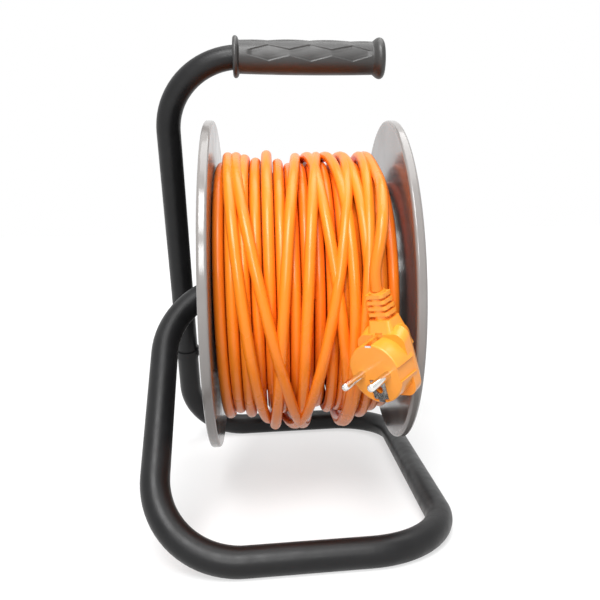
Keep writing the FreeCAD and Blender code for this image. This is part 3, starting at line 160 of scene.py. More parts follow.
def blurred(values, width):
    """Values averaged with a bell of that width, ends held."""
    reach = int(math.ceil(3 * width))
    bell = np.exp(-0.5 * (np.arange(-reach, reach + 1) / width) ** 2)
    return np.convolve(np.pad(values, reach, mode="edge"), bell / bell.sum(), "valid")


# Materials

# The middle of a noise, where nearly all its values lie
NOISE_LOW, NOISE_HIGH = 0.3, 0.7

# How many times finer the uneven gloss is than the changes of colour
SMEAR_FINENESS = 3.3
LOWEST_ROUGHNESS = 0.02
COAT_ROUGHNESS = 0.12

# A colour Mix node's own sockets: its other sockets share their names
MIX_FIRST, MIX_SECOND, MIX_RESULT = 6, 7, 2


def node_of(tree, kind, **inputs):
    """A shader node with some of its inputs set; spaces in their names are underscores."""
    made = tree.nodes.new(kind)
    for key, value in inputs.items():
        made.inputs[key.replace("_", " ")].default_value = value
    return made


def shaded(colour, factor):
    """A colour made lighter or darker, with its alpha."""
    return (*[min(1.0, channel * factor) for channel in colour], 1.0)


def finish(name, colour, rough, metal=0.0, coat=0.0, mottle=0.12, mottle_scale=30.0,
           rough_spread=0.08, grain=0.15, grain_scale=900.0, grain_depth=0.00008,
           specular=0.5):
    """A surface with soft changes of colour, uneven gloss and a fine grain, all read from
    object coordinates. Scales are per metre and the grain's depth is in metres."""
    material = bpy.data.materials.new(name)
    material.use_nodes = True
    tree = material.node_tree
    shader = tree.nodes["Principled BSDF"]
    shader.inputs["Metallic"].default_value = metal
    shader.inputs["Coat Weight"].default_value = coat
    shader.inputs["Coat Roughness"].default_value = COAT_ROUGHNESS
    shader.inputs["Specular IOR Level"].default_value = specular
    places = tree.nodes.new("ShaderNodeTexCoord")
    clouds = node_of(tree, "ShaderNodeTexNoise", Scale=mottle_scale, Detail=4.0, Roughness=0.6)
    tree.links.new(places.outputs["Object"], clouds.inputs["Vector"])
    ramp = tree.nodes.new("ShaderNodeValToRGB")
    ramp.color_ramp.elements[0].position = NOISE_LOW
    ramp.color_ramp.elements[1].position = NOISE_HIGH
    ramp.color_ramp.elements[0].color = shaded(colour, 1.0 - mottle)
    ramp.color_ramp.elements[1].color = shaded(colour, 1.0 + mottle)
    tree.links.new(clouds.outputs["Fac"], ramp.inputs["Fac"])
    tree.links.new(ramp.outputs["Color"], shader.inputs["Base Color"])
    smears = node_of(tree, "ShaderNodeTexNoise", Scale=mottle_scale * SMEAR_FINENESS,
                     Detail=3.0)
    tree.links.new(places.outputs["Object"], smears.inputs["Vector"])
    gloss = node_of(tree, "ShaderNodeMapRange")
    gloss.inputs["From Min"].default_value = NOISE_LOW
    gloss.inputs["From Max"].default_value = NOISE_HIGH
    gloss.inputs["To Min"].default_value = max(LOWEST_ROUGHNESS, rough - rough_spread)
    gloss.inputs["To Max"].default_value = rough + rough_spread
    tree.links.new(smears.outputs["Fac"], gloss.inputs["Value"])
    tree.links.new(gloss.outputs["Result"], shader.inputs["Roughness"])
    fine = node_of(tree, "ShaderNodeTexNoise", Scale=grain_scale, Detail=2.0)
    tree.links.new(places.outputs["Object"], fine.inputs["Vector"])
    bump = node_of(tree, "ShaderNodeBump", Strength=grain, Distance=grain_depth)
    tree.links.new(fine.outputs["Fac"], bump.inputs["Height"])
    tree.links.new(bump.outputs["Normal"], shader.inputs["Normal"])
    return material


def tint_by_radius(material, colour, none_at, all_at):
    """Mixes another colour in by the distance from the axle: none of it at one radius, all
    of it at the other, in metres."""
    tree = material.node_tree
    shader = tree.nodes["Principled BSDF"]
    base = shader.inputs["Base Color"].links[0].from_socket
    places = tree.nodes.new("ShaderNodeTexCoord")
    centred = node_of(tree, "ShaderNodeMapping", Location=(0.0, 0.0, -AXLE_Z),
                      Scale=(0.0, 1.0, 1.0))
    tree.links.new(places.outputs["Object"], centred.inputs["Vector"])
    radius = tree.nodes.new("ShaderNodeVectorMath")
    radius.operation = "LENGTH"
    tree.links.new(centred.outputs["Vector"], radius.inputs[0])
    share = node_of(tree, "ShaderNodeMapRange")
    share.inputs["From Min"].default_value = none_at
    share.inputs["From Max"].default_value = all_at
    tree.links.new(radius.outputs["Value"], share.inputs["Value"])
    mix = tree.nodes.new("ShaderNodeMix")
    mix.data_type = "RGBA"
    tree.links.new(share.outputs["Result"], mix.inputs["Factor"])
    tree.links.new(base, mix.inputs[MIX_FIRST])
    mix.inputs[MIX_SECOND].default_value = (*colour, 1.0)
    tree.links.new(mix.outputs[MIX_RESULT], shader.inputs["Base Color"])


def dress(material, *nodes):
    """Give CAD nodes a material."""
    for name in nodes:
        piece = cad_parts[name]
        if not piece.material_slots:
            piece.data.materials.append(material)
        for slot in piece.material_slots:
            slot.material = material


def shared(name, maker):
    """A material by name, made the first time it is asked for."""
    return bpy.data.materials.get(name) or maker()


def zinc_finish():
    return shared("zinc plated steel", lambda: finish(
        "zinc plated steel", (0.56, 0.57, 0.58), 0.32, metal=1.0, mottle=0.18,
        mottle_scale=220.0, grain=0.15, grain_scale=1200.0))


def black_plastic_finish():
    return shared("black plastic", lambda: finish(
        "black plastic", (0.022, 0.022, 0.023), 0.42, mottle=0.2, mottle_scale=35.0,
        grain=0.4, grain_scale=1600.0, grain_depth=0.0001))


# Wound cord. Its turns are counted from the top of the drum, the front going down. Each turn
# is worked out in steps, and every second step is a point of the curve. Places along the axle
# and radii are in metres, apart from the tables that say millimetres.

STEPS = 48
POINT_EVERY = 2
CORE_RADIUS = 0.066

# The cord starts on the core beside its hole, and at the top it is on its way to the right
INLET_TURN, INLET_X = 0.375, 0.0249
LEAD_TURN, LEAD_X = 1.0, 0.042

# First layer, from the right end to the left, and second one, part of the way back
LAYER_TURN = 2.0
LAYER_RIGHT, LAYER_LEFT = 0.0575, -0.0582
FULL_TURNS = 14
SECOND_TURNS = 8
SECOND_END = 0.012

# Each later turn has four places along the axle, at the top, upper front, lower front and
# bottom, these shares of a turn down from the top
PLACE_SHARES = (0, 1 / 6, 1 / 3, 1 / 2)

# Third layer, in millimetres: the rightmost turn's four places, the step from one turn to the
# next at each, the least radius at the bottom and how far it comes and goes
THIRD_PLACES = (53.0, 53.0, 52.5, 52.0)
THIRD_STEPS = (8.0, 8.0, 7.9, 7.7)
THIRD_BOTTOM, THIRD_SWAY, THIRD_PHASE = 93.0, 3.0, 1.7

# Least radius at the top of each turn of the third layer, from the right, in millimetres
THIRD_TOPS = (78, 79, 77, 79, 78, 77, 79, 78, 81, 86, 94, 88, 90.5, 89.5, 84)

# Each loose turn, in millimetres: its four places, then the least radius at the top and at
# the bottom
LOOSE_TURNS = [
    (-55, -52, -38, -25, 92, 100), (-1, -14, -22, -28, 84, 101), (4, 8, 24, 28, 80, 90),
    (12, 0, -7, -8, 80, 92), (15, 27, 27, 20, 87, 93), (31, 27, 4, -17, 80, 93),
    (-52, -46, -19, 2, 92, 100), (27, 36, 37, 36, 88, 94), (43, 40, 29, 21, 82, 104),
]

# Where the winding ends at the top: turns past it, place along the axle and least radius
END_KNOTS = [(0.0, 0.0470, 0.0900), (0.0625, 0.0483, 0.0926)]

# Room between the centres of turns that touch, past a diameter, and under the first layer
TURN_ROOM = 0.0001
CORE_ROOM = 0.0003

# Where turns pile up, a soft limit presses them together: its radius at the top of the drum,
# how much more it is at the bottom and over one high loop, and the depth of its give
LIMIT_TOP = 0.0925
LIMIT_BOTTOM_MORE = 0.0135
HIGH_LOOP_X, HIGH_LOOP_WIDTH, HIGH_LOOP_MORE = -0.028, 0.009, 0.0045
LIMIT_GIVE = 0.004

# Widths in steps: of the bell that eases places along the axle, of the stretch held up on
# each side of a crossing, of the bells that ease its height, and of the rise off the core
PLACE_EASE = 4.0
CROSSING_REACH = 3
CROSSING_EASE = 2.2
HEIGHT_EASE = 1.6
START_RISE = 8.0

# Half a turn is worked out at once, with a few steps more on each side for its easing
CHUNK = STEPS // 2
PAD = 6

# The hanging end's points, from the top of the drum to the plug's strain relief
TAIL = [
    (0.0475, -0.0600, 0.2340), (0.0457, -0.0880, 0.2255), (0.0432, -0.1070, 0.2130),
    (0.0412, -0.1170, 0.2010), (0.0385, -0.1195, 0.1870), (0.0352, -0.1188, 0.1720),
    (0.0370, -0.1176, 0.1613),
]


def winding_knots():
    """Turns gone, place along the axle and least radius, as straight lines between knots. One
    full layer runs left, a second one part of the way back, a third one lies at a wide pitch
    and the loose turns cross it."""
    knots = [(INLET_TURN, INLET_X, 0.0), (LEAD_TURN, LEAD_X, 0.0),
             (LAYER_TURN, LAYER_RIGHT, 0.0)]
    turn = LAYER_TURN
    for step in range(1, FULL_TURNS + 1):
        share = step / FULL_TURNS
        knots.append((turn + step, LAYER_RIGHT + (LAYER_LEFT - LAYER_RIGHT) * share, 0.0))
    turn += FULL_TURNS
    for step in range(1, SECOND_TURNS + 1):
        share = step / SECOND_TURNS
        knots.append((turn + step, LAYER_LEFT + (SECOND_END - LAYER_LEFT) * share, 0.0))
    turn += SECOND_TURNS
    third = [(*(place - step * i for place, step in zip(THIRD_PLACES, THIRD_STEPS)), top,
              THIRD_BOTTOM + THIRD_SWAY * math.sin(THIRD_PHASE * i))
             for i, top in enumerate(THIRD_TOPS)]
    for step, (*places, near, far) in enumerate(third + LOOSE_TURNS, 1):
        for share, x in zip(PLACE_SHARES, places):
            drop = (1 - math.cos(2 * math.pi * share)) / 2
            radius = near + (far - near) * drop
            knots.append((turn + step + share, x / 1000, radius / 1000))
    last = turn + len(third) + len(LOOSE_TURNS) + 1
    knots += [(last + past, x, radius) for past, x, radius in END_KNOTS]
    return np.array(knots)


def winding(diameter):
    """Points of the wound cord: place along the axle and radius as functions of the turn.
    Each half turn lies on whatever earlier turns pass under it, a cord's diameter from their
    centres, or hangs at its own least radius. The soft limit is a hyperbolic tangent of what
    goes over it. The points lie outside the line by the curve's own cut at its corners."""
    knots = winding_knots()
    first, last = (int(round(knots[end, 0] * STEPS)) for end in (0, -1))
    turn = np.arange(first, last + 1) / STEPS
    x = blurred(np.interp(turn, knots[:, 0], knots[:, 1]), PLACE_EASE)
    least = np.interp(turn, knots[:, 0], knots[:, 2])
    drop = (1 - np.cos(2 * np.pi * turn)) / 2
    high_loop = np.exp(-((x - HIGH_LOOP_X) / HIGH_LOOP_WIDTH) ** 2) * (1 - drop)
    limit = LIMIT_TOP + HIGH_LOOP_MORE * high_loop + LIMIT_BOTTOM_MORE * drop
    gap = diameter + TURN_ROOM
    count = len(turn)
    radius = np.zeros(count)
    for start in range(0, count, CHUNK):
        low = max(0, start - PAD)
        here = np.arange(low, min(count, start + CHUNK + PAD))
        need = np.maximum(least[here], CORE_RADIUS + diameter / 2 + CORE_ROOM)
        for back in range(STEPS, here[-1] + 1, STEPS):
            under = here - back
            known = (under >= 0) & (under < start)
            apart = np.where(known, np.abs(x[here] - x[under]), 1.0)
            rise = np.sqrt(np.clip(gap ** 2 - apart ** 2, 0.0, None))
            need = np.where(apart < gap, np.maximum(need, radius[under] + rise), need)
        padded = np.pad(need, CROSSING_REACH, mode="edge")
        held = [padded[shift:shift + len(need)] for shift in range(2 * CROSSING_REACH + 1)]
        eased = blurred(np.max(held, axis=0), CROSSING_EASE)
        free = limit[here] - LIMIT_GIVE
        over = np.clip(eased - free, 0.0, None)
        eased = np.minimum(eased, free) + LIMIT_GIVE * np.tanh(over / LIMIT_GIVE)
        keep = (here >= start) & (here < start + CHUNK)
        radius[here[keep]] = eased[keep]
    radius = blurred(radius, HEIGHT_EASE)
    rise = smooth_step(np.arange(count) / START_RISE)
    radius = CORE_RADIUS + (radius - CORE_RADIUS) * rise
    reach = radius / math.cos(math.pi * POINT_EVERY / STEPS)
    angle = 2 * np.pi * turn
    points = np.stack([x, -reach * np.sin(angle), AXLE_Z + reach * np.cos(angle)], 1)
    return points[::POINT_EVERY]


def spline_length(curve_object):
    """Length of a curve's own line, from its mesh without a bevel."""
    data = curve_object.data
    bevel = data.bevel_depth
    data.bevel_depth = 0.0
    line = bpy.data.meshes.new_from_object(curve_object)
    data.bevel_depth = bevel
    points = np.zeros(len(line.vertices) * 3)
    line.vertices.foreach_get("co", points)
    bpy.data.meshes.remove(line)
    return float(np.linalg.norm(np.diff(points.reshape(-1, 3), axis=0), axis=1).sum())


# Camera: place in metres, turns in radians to the right, up and about its line of sight, lens
# and sensor in millimetres, and shift in widths of the frame

CAMERA_AT = (-0.029295, -0.543056, 0.211373)
CAMERA_TURNS = (0.130, -0.070, -0.016)
LENS = 43.088
SENSOR_WIDTH = 36.0
SHIFT_X, SHIFT_Y = -0.09778, -0.06932


class REEL_OT_camera(bpy.types.Operator):
    """Sets the camera where the photograph was taken from"""
    bl_idname = "cord_reel.camera"
    bl_label = "Camera"

    def execute(self, context):
        yaw, pitch, roll = CAMERA_TURNS
        ahead = Vector((math.sin(yaw) * math.cos(pitch), math.cos(yaw) * math.cos(pitch),
                        math.sin(pitch)))
        level = Vector((math.cos(yaw), -math.sin(yaw), 0.0))
        upright = level.cross(ahead)
        right = level * math.cos(roll) + upright * math.sin(roll)
        up = upright * math.cos(roll) - level * math.sin(roll)
        data = bpy.data.cameras.new("camera")
        data.lens = LENS
        data.sensor_width = SENSOR_WIDTH
        data.shift_x = SHIFT_X
        data.shift_y = SHIFT_Y
        camera = bpy.data.objects.new("camera", data)
        turn = Matrix((right, up, -ahead)).transposed().to_4x4()
        camera.matrix_world = Matrix.Translation(CAMERA_AT) @ turn
        context.scene.collection.objects.link(camera)
        context.scene.camera = camera
        return {"FINISHED"}


# The sheath has its own colour from one radius outwards, and from another radius inwards a
# deeper orange-red is painted on as shade over the covered turns
UNSHADED_RADIUS = 0.094
FULL_SHADE_RADIUS = 0.080


class REEL_OT_cord(bpy.types.Operator):
    """Winds the cord on the drum and leads its end down to the plug"""
    bl_idname = "cord_reel.cord"
    bl_label = "Wound cord"

    def execute(self, context):
        settings = context.scene.reel_cord
        points = np.vstack([winding(settings.diameter), TAIL])
        data = bpy.data.curves.new("cord", "CURVE")
        data.dimensions = "3D"
        # The bevel is 1 m and each point scales it to the cord's radius, because a curve's
        # box is its line grown by the points' own radii, which stand at 1 m by default
        data.bevel_depth = 1.0
        data.bevel_resolution = 5
        data.resolution_u = 4
        data.use_fill_caps = True
        spline = data.splines.new("NURBS")
        spline.points.add(len(points) - 1)
        weighted = np.column_stack([points, np.ones(len(points))])
        spline.points.foreach_set("co", weighted.ravel())
        spline.points.foreach_set("radius", np.full(len(points), settings.diameter / 2))
        spline.order_u = 3
        spline.use_endpoint_u = True
        spline.use_smooth = True
        cord = bpy.data.objects.new("cord", data)
        context.scene.collection.objects.link(cord)
        sheath = finish("orange sheath", settings.colour, settings.roughness, specular=0.4,
                        mottle=0.07, mottle_scale=14.0, rough_spread=0.06, grain=0.12,
                        grain_scale=260.0, grain_depth=0.0002)
        # Painted shade: the covered inner turns darken to a deeper orange-red towards the axle
        tint_by_radius(sheath, settings.painted_shade_colour, UNSHADED_RADIUS, FULL_SHADE_RADIUS)
        data.materials.append(sheath)
        dress(sheath, "inner_cord")
        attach(cord, "drum")
        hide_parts("cord_inner_layers", "cord_outer_turns", "cord_tail")
        length = spline_length(cord)
        return {"FINISHED"}


# Grip: its axis in metres over the floor, and its profile in millimetres, along the handle
# and out from its axis

GRIP_AXIS_Z = 0.3235
GRIP_AROUND = 240
BODY_LEFT, BODY_RIGHT = -44.4, 54.0
BODY_STEPS = 220
BODY_END_RADIUS = 12.1
BELLY_POWER = 0.8
GRIP_BORE = 9.05
BORE_END = 60.0
BORE_STEPS = 8
LEFT_END, RIGHT_END = -49.0, 63.0
LEFT_END_EDGE = 10.5
FLANGE_LEFT = [(-49.0, 12.4), (-48.9, 13.8), (-48.4, 14.8), (-47.5, 15.25), (-46.5, 15.2),
               (-45.6, 14.6), (-45.0, 13.6), (-44.7, 12.5)]
FLANGE_RIGHT = [(54.3, 12.25), (55.2, 12.9), (56.3, 13.8), (57.4, 14.6), (58.6, 15.1),
                (59.8, 15.2), (61.0, 14.9), (62.0, 14.1), (62.7, 12.8), (63.0, 11.0),
                (63.0, 8.0), (63.0, 4.0)]

# Diamond chains: four of six even places round the grip have one, the first this far above
# the front. Along the handle in millimetres, half widths in degrees at the ends, the centres
# and the waists
CHAIN_PLACES = 6
CHAIN_ROWS = 4
CHAIN_TURN = math.radians(5.5)
CHAIN_CENTRES = (-23.4, 7.4, 38.3)
CHAIN_ENDS = (-39.5, 54.0)
CHAIN_HALF_WIDTHS = (5.5, 28.0, 10.0, 29.0, 10.0, 28.0, 5.5)

# Slopes at a chain's edges and ends, and its floor, which falls from this share of the full
# depth beside the edge to the whole of it this far in, in millimetres
EDGE_SLOPE = 0.45
END_SLOPE = 5.0
FLOOR_SHARE = 0.75
FLOOR_REACH = 3.0

# Mould seams along the grip: below the front and opposite it, with their width in radians
SEAM_BELOW = math.radians(28.0)
SEAM_OPPOSITE = math.radians(152.0)
SEAM_WIDTH = 0.012
SEAM_HEIGHT = 0.12


def chain_half_width(x):
    """Half the width of a diamond chain in degrees: wide at each diamond's centre, narrow at
    the waists between them and tapering to the ends, with straight sides."""
    left, middle, right = CHAIN_CENTRES
    places = [CHAIN_ENDS[0], left, (left + middle) / 2, middle, (middle + right) / 2, right,
              CHAIN_ENDS[1]]
    return np.interp(x, places, CHAIN_HALF_WIDTHS)


class REEL_OT_grip(bpy.types.Operator):
    """Makes the grip with its flanged ends and its sunk diamond chains"""
    bl_idname = "cord_reel.grip"
    bl_label = "Grip"

    def execute(self, context):
        """The outside is turned round the handle's axis: radius as a function of place along
        the axis, less the relief, which is a function of place and angle."""
        settings = context.scene.reel_grip
        middle = settings.middle_radius * 1000
        body_x = np.linspace(BODY_LEFT, BODY_RIGHT, BODY_STEPS)
        share = (body_x - BODY_LEFT) / (BODY_RIGHT - BODY_LEFT)
        belly = np.sin(np.pi * share) ** BELLY_POWER
        body_r = BODY_END_RADIUS + (middle - BODY_END_RADIUS) * belly
        profile = [(BORE_END, GRIP_BORE / 2)]
        profile += [(x, GRIP_BORE) for x in np.linspace(BORE_END, LEFT_END, BORE_STEPS)]
        profile += [(LEFT_END, LEFT_END_EDGE)] + FLANGE_LEFT
        body_from = len(profile)
        profile += list(zip(body_x.tolist(), body_r.tolist()))
        body_to = len(profile)
        profile += FLANGE_RIGHT
        line = np.array(profile)
        angle = np.arange(GRIP_AROUND) * 2 * np.pi / GRIP_AROUND
        x = np.repeat(line[:, 0][:, None], GRIP_AROUND, 1)
        r = np.repeat(line[:, 1][:, None], GRIP_AROUND, 1)
        period = 2 * np.pi / CHAIN_PLACES
        from_first = angle - CHAIN_TURN + period / 2
        off = np.abs(from_first % period - period / 2)
        edge = np.radians(chain_half_width(body_x))[:, None] - off[None, :]
        has_chain = from_first % (2 * np.pi) < CHAIN_ROWS * period
        inside = smooth_step(edge * middle / EDGE_SLOPE + 0.5) * has_chain[None, :]
        ends = smooth_step((body_x - CHAIN_ENDS[0]) / END_SLOPE)
        ends = ends * smooth_step((CHAIN_ENDS[1] - body_x) / END_SLOPE)
        deeper = np.clip(np.abs(edge) * middle / FLOOR_REACH, 0.0, 1.0)
        floor = FLOOR_SHARE + (1 - FLOOR_SHARE) * deeper
        sunk = settings.relief * 1000 * inside * ends[:, None] * floor
        seam = np.exp(-((angle + SEAM_BELOW) % (2 * np.pi) / SEAM_WIDTH) ** 2)
        seam += np.exp(-((angle - SEAM_OPPOSITE) / SEAM_WIDTH) ** 2)
        r[body_from:body_to] += SEAM_HEIGHT * seam[None, :] - sunk
        grid = np.stack([x, -r * np.cos(angle)[None, :], r * np.sin(angle)[None, :]], 2)
        verts = grid.reshape(-1, 3)
        poles = np.array([(BORE_END, 0.0, 0.0), (RIGHT_END, 0.0, 0.0)])
        verts = np.vstack([verts, poles]) / 1000
        verts[:, 2] += GRIP_AXIS_Z
        grip = make_mesh("grip", verts, turned_grid(len(line), GRIP_AROUND))
        face_outwards(grip.data)
        grip.data.materials.append(finish(
            "grip plastic", settings.colour, 0.45, mottle=0.2, mottle_scale=25.0,
            rough_spread=0.06, grain=0.35, grain_scale=1500.0, grain_depth=0.0001,
            specular=0.6))
        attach(grip, "frame")
        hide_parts("handle_grip")
        return {"FINISHED"}


class REEL_OT_frame(bpy.types.Operator):
    """Gives the bent tube, the brake clip and the axle parts their finishes"""
    bl_idname = "cord_reel.frame"
    bl_label = "Frame"

    def execute(self, context):
        colour = context.scene.reel_body.steel_colour
        coated = finish("black coated steel", colour, 0.4, mottle=0.25, mottle_scale=40.0,
                        rough_spread=0.06, grain=0.3, grain_scale=700.0,
                        grain_depth=0.00015, specular=0.28)
        dress(coated, "frame_tube", "brake_clip")
        pad = finish("brake pad rubber", (0.02, 0.02, 0.02), 0.75, mottle=0.3,
                     mottle_scale=120.0, grain=0.5, grain_scale=800.0)
        dress(pad, "brake_pad")
        dress(zinc_finish(), "axle_stop_ring", "stop_ring_screw", "axle_washer", "axle_screw")
        dress(black_plastic_finish(), "axle_end_plug")
        return {"FINISHED"}


# The flanges' rims are painted paler by this factor, between these two radii in metres: a
# painted sheen for the light their rounded rims catch
RIM_PAINTED_SHEEN = 1.6
RIM_FROM, RIM_TO = 0.1145, 0.1165


class REEL_OT_drum(bpy.types.Operator):
    """Gives the flanges, the core, the bushes and their screws their finishes"""
    bl_idname = "cord_reel.drum"
    bl_label = "Drum"

    def execute(self, context):
        colour = context.scene.reel_body.flange_colour
        grey = finish("grey flange plastic", colour, 0.2, coat=0.3, mottle=0.09,
                      mottle_scale=9.0, rough_spread=0.07, grain=0.06, grain_scale=60.0,
                      grain_depth=0.0005)
        # Painted sheen: the rims are mixed paler than the web of the flanges
        tint_by_radius(grey, shaded(colour, RIM_PAINTED_SHEEN)[:3], RIM_FROM, RIM_TO)
        dress(grey, "left_flange", "right_flange", "drum_core")
        white = finish("white bush plastic", (0.72, 0.72, 0.69), 0.4, mottle=0.06,
                       mottle_scale=60.0)
        dress(white, "left_hub_bush", "right_hub_bush")
        dress(zinc_finish(), "left_flange_screws", "crank_pin", "crank_washer",
              "cord_clamp_screws")
        dress(black_plastic_finish(), "cord_clamp", "crank_knob")
        return {"FINISHED"}


# The spring under the reset button, in metres: its left end along the axle, its length and its
# wire

SPRING_LEFT = 0.0578
SPRING_LENGTH = 0.0064
SPRING_RADIUS = 0.0036
SPRING_COILS = 5
SPRING_STEPS = 240
WIRE_RADIUS = 0.0003
WIRE_AROUND = 10


def button_spring():
    """The button's spring: a round wire carried along a helix, place along the axle as a
    function of the turn and place on the wire's round as a function of a second angle."""
    share = np.linspace(0.0, 1.0, SPRING_STEPS + 1)
    turn = 2 * np.pi * SPRING_COILS * share
    rise = SPRING_LENGTH - 2 * WIRE_RADIUS
    out = np.stack([np.zeros_like(turn), np.cos(turn), np.sin(turn)], 1)
    middle = SPRING_RADIUS * out
    middle[:, 0] = SPRING_LEFT + WIRE_RADIUS + rise * share
    middle[:, 2] += AXLE_Z
    angle = np.arange(WIRE_AROUND) * 2 * np.pi / WIRE_AROUND
    axle = np.array([1.0, 0.0, 0.0])
    wire = middle[:, None, :] + WIRE_RADIUS * (
        np.cos(angle)[None, :, None] * out[:, None, :]
        + np.sin(angle)[None, :, None] * axle[None, None, :])
    verts = np.vstack([wire.reshape(-1, 3), middle[:1], middle[-1:]])
    spring = make_mesh("button_spring", verts, turned_grid(len(share), WIRE_AROUND))
    face_outwards(spring.data)
    spring.data.materials.append(zinc_finish())
    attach(spring, "drum")
    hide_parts("reset_spring")
    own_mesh(spring)


class REEL_OT_sockets(bpy.types.Operator):
    """Gives the socket plate, its lids, the contacts and the leads their finishes"""
    bl_idname = "cord_reel.sockets"
    bl_label = "Sockets"

    def execute(self, context):
        dress(black_plastic_finish(), "socket_plate", "socket_tray", "thermal_cutout")
        lids = finish("lid plastic", (0.03, 0.03, 0.031), 0.36, mottle=0.15,
                      mottle_scale=45.0, grain=0.5, grain_scale=1300.0, grain_depth=0.00012)
        dress(lids, *[f"socket_lid_{number}" for number in (1, 2, 3, 4)])
        dress(zinc_finish(), "socket_plate_screws", "socket_tray_screws", "lid_pins",
              "lid_springs")
        button_spring()
        brass = finish("brass", (0.70, 0.47, 0.16), 0.28, metal=1.0, mottle=0.15,
                       mottle_scale=150.0)
        dress(brass, "live_bar", "neutral_bar", "earth_bar")
        red = finish("red button plastic", (0.55, 0.025, 0.015), 0.3, mottle=0.1,
                     mottle_scale=120.0)
        dress(red, "reset_button")
        leads = {"live_lead": (0.13, 0.05, 0.02), "neutral_lead": (0.02, 0.1, 0.45),
                 "earth_lead": (0.16, 0.38, 0.04)}
        for name, colour in leads.items():
            dress(finish(name.replace("_", " "), colour, 0.3, mottle=0.1,
                         mottle_scale=200.0), name)
        return {"FINISHED"}


class REEL_OT_plug(bpy.types.Operator):
    """Gives the plug's body, its pins and its earth contact their finishes"""
    bl_idname = "cord_reel.plug"
    bl_label = "Plug"

    def execute(self, context):
        colour = context.scene.reel_body.plug_colour
        moulded = finish("plug plastic", colour, 0.34, coat=0.2, mottle=0.06,
                         mottle_scale=40.0, rough_spread=0.05, grain=0.25,
                         grain_scale=1200.0, grain_depth=0.00008)
        dress(moulded, "plug_body")
        bright = finish("nickel plate", (0.72, 0.70, 0.67), 0.14, metal=1.0, mottle=0.08,
                        mottle_scale=260.0, rough_spread=0.05, grain=0.05)
        dress(bright, "plug_pins", "plug_earth_contact")
        return {"FINISHED"}


# Stage. The floor glows where it is seen directly, so that it runs into the white
# surroundings and keeps the object's shadow: by one strength up to the first distance from
# the object, in metres, and by another from the second one on.

FLOOR_HALF = 6.0
GLOW_FROM, GLOW_TO = 0.35, 1.6
GLOW_NEAR, GLOW_FAR = 0.6, 0.95

# How strongly the surroundings light the object; seen directly they are white
SURROUNDINGS_LIGHT = 0.2

# Each lamp: its place, the point that it faces, its size and its share of the key power
LAMPS = {
    "key lamp": ((-0.35, -1.1, 1.6), (0.0, 0.0, 0.15), 0.9, 1.0),
    "front lamp": ((-0.25, -1.5, 0.75), (0.0, 0.0, 0.18), 0.45, 0.3),
    "top lamp": ((0.3, 0.2, 1.8), (0.0, 0.0, 0.2), 1.4, 0.5),
}


def area_lamp(name, at, towards, size, power):
    """A large square lamp that faces a point."""
    data = bpy.data.lights.new(name, "AREA")
    data.size = size
    data.energy = power
    lamp = bpy.data.objects.new(name, data)
    facing = (Vector(towards) - Vector(at)).to_track_quat("-Z", "Y")
    lamp.matrix_world = Matrix.Translation(at) @ facing.to_matrix().to_4x4()
    bpy.context.scene.collection.objects.link(lamp)


def seen_directly(tree):
    """A socket that is one where a ray comes straight from the camera, or by way of a
    reflection or glass."""
    path = tree.nodes.new("ShaderNodeLightPath")
    total = None
    for output in ("Is Camera Ray", "Is Glossy Ray", "Is Transmission Ray"):
        if total is None:
            total = path.outputs[output]
            continue
        add = tree.nodes.new("ShaderNodeMath")
        add.operation = "MAXIMUM"
        tree.links.new(total, add.inputs[0])
        tree.links.new(path.outputs[output], add.inputs[1])
        total = add.outputs[0]
    return total


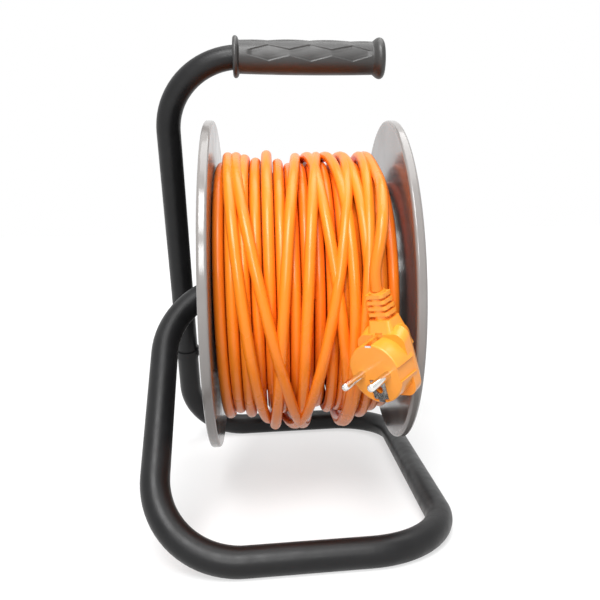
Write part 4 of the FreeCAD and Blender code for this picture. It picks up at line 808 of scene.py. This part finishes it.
class REEL_OT_stage(bpy.types.Operator):
    """Lays the pale floor and sets the soft lamps and the white surroundings"""
    bl_idname = "cord_reel.stage"
    bl_label = "Stage"

    def execute(self, context):
        settings = context.scene.reel_stage
        half = FLOOR_HALF
        floor = make_mesh("floor", [(-half, -half, 0), (half, -half, 0), (half, half, 0),
                                    (-half, half, 0)], [[0, 1, 2, 3]], smooth=False)
        material = bpy.data.materials.new("pale floor")
        material.use_nodes = True
        tree = material.node_tree
        shader = tree.nodes["Principled BSDF"]
        shader.inputs["Base Color"].default_value = (*settings.floor_colour, 1.0)
        shader.inputs["Roughness"].default_value = 0.9
        shader.inputs["Specular IOR Level"].default_value = 0.1
        shader.inputs["Emission Color"].default_value = (1.0, 1.0, 1.0, 1.0)
        places = tree.nodes.new("ShaderNodeTexCoord")
        distance = tree.nodes.new("ShaderNodeVectorMath")
        distance.operation = "LENGTH"
        tree.links.new(places.outputs["Object"], distance.inputs[0])
        fade = node_of(tree, "ShaderNodeMapRange")
        fade.inputs["From Min"].default_value = GLOW_FROM
        fade.inputs["From Max"].default_value = GLOW_TO
        fade.inputs["To Min"].default_value = GLOW_NEAR
        fade.inputs["To Max"].default_value = GLOW_FAR
        tree.links.new(distance.outputs["Value"], fade.inputs["Value"])
        share = tree.nodes.new("ShaderNodeMath")
        share.operation = "MULTIPLY"
        tree.links.new(seen_directly(tree), share.inputs[0])
        tree.links.new(fade.outputs["Result"], share.inputs[1])
        tree.links.new(share.outputs[0], shader.inputs["Emission Strength"])
        floor.data.materials.append(material)

        world = bpy.data.worlds.new("surroundings")
        context.scene.world = world
        world.use_nodes = True
        tree = world.node_tree
        background = tree.nodes["Background"]
        background.inputs["Color"].default_value = (1.0, 1.0, 1.0, 1.0)
        strength = node_of(tree, "ShaderNodeMapRange")
        strength.inputs["To Min"].default_value = SURROUNDINGS_LIGHT
        strength.inputs["To Max"].default_value = 1.0
        tree.links.new(seen_directly(tree), strength.inputs["Value"])
        tree.links.new(strength.outputs["Result"], background.inputs["Strength"])

        for name, (at, towards, size, share) in LAMPS.items():
            area_lamp(name, at, towards, size, settings.key_power * share)
        context.scene.view_settings.view_transform = "Standard"
        return {"FINISHED"}


class REEL_PT_panel(bpy.types.Panel):
    """Lists the pieces and their settings"""
    bl_idname = "REEL_PT_panel"
    bl_label = "Cord Reel"
    bl_space_type = "VIEW_3D"
    bl_region_type = "UI"
    bl_category = "Cord Reel"

    def draw(self, context):
        layout = self.layout
        for operator in OPERATORS:
            layout.operator(operator.bl_idname)
        for pointer, group in SETTINGS.items():
            box = layout.box()
            for name in group.__annotations__:
                box.prop(getattr(context.scene, pointer), name)


OPERATORS = (REEL_OT_camera, REEL_OT_cord, REEL_OT_grip, REEL_OT_frame, REEL_OT_drum,
             REEL_OT_sockets, REEL_OT_plug, REEL_OT_stage)
SETTINGS = {"reel_cord": ReelCordSettings, "reel_grip": ReelGripSettings,
            "reel_body": ReelBodySettings, "reel_stage": ReelStageSettings}


def register():
    for kind in (*SETTINGS.values(), *OPERATORS, REEL_PT_panel):
        bpy.utils.register_class(kind)
    for pointer, group in SETTINGS.items():
        setattr(bpy.types.Scene, pointer, PointerProperty(type=group))


def unregister():
    for pointer in SETTINGS:
        delattr(bpy.types.Scene, pointer)
    for kind in (REEL_PT_panel, *OPERATORS[::-1], *list(SETTINGS.values())[::-1]):
        bpy.utils.unregister_class(kind)


def main():
    register()
    bpy.ops.cord_reel.camera()
    bpy.ops.cord_reel.cord()
    bpy.ops.cord_reel.grip()
    bpy.ops.cord_reel.frame()
    bpy.ops.cord_reel.drum()
    bpy.ops.cord_reel.sockets()
    bpy.ops.cord_reel.plug()
    bpy.ops.cord_reel.stage()
    bpy.context.view_layer.update()


if __name__ == "__main__":
    main()
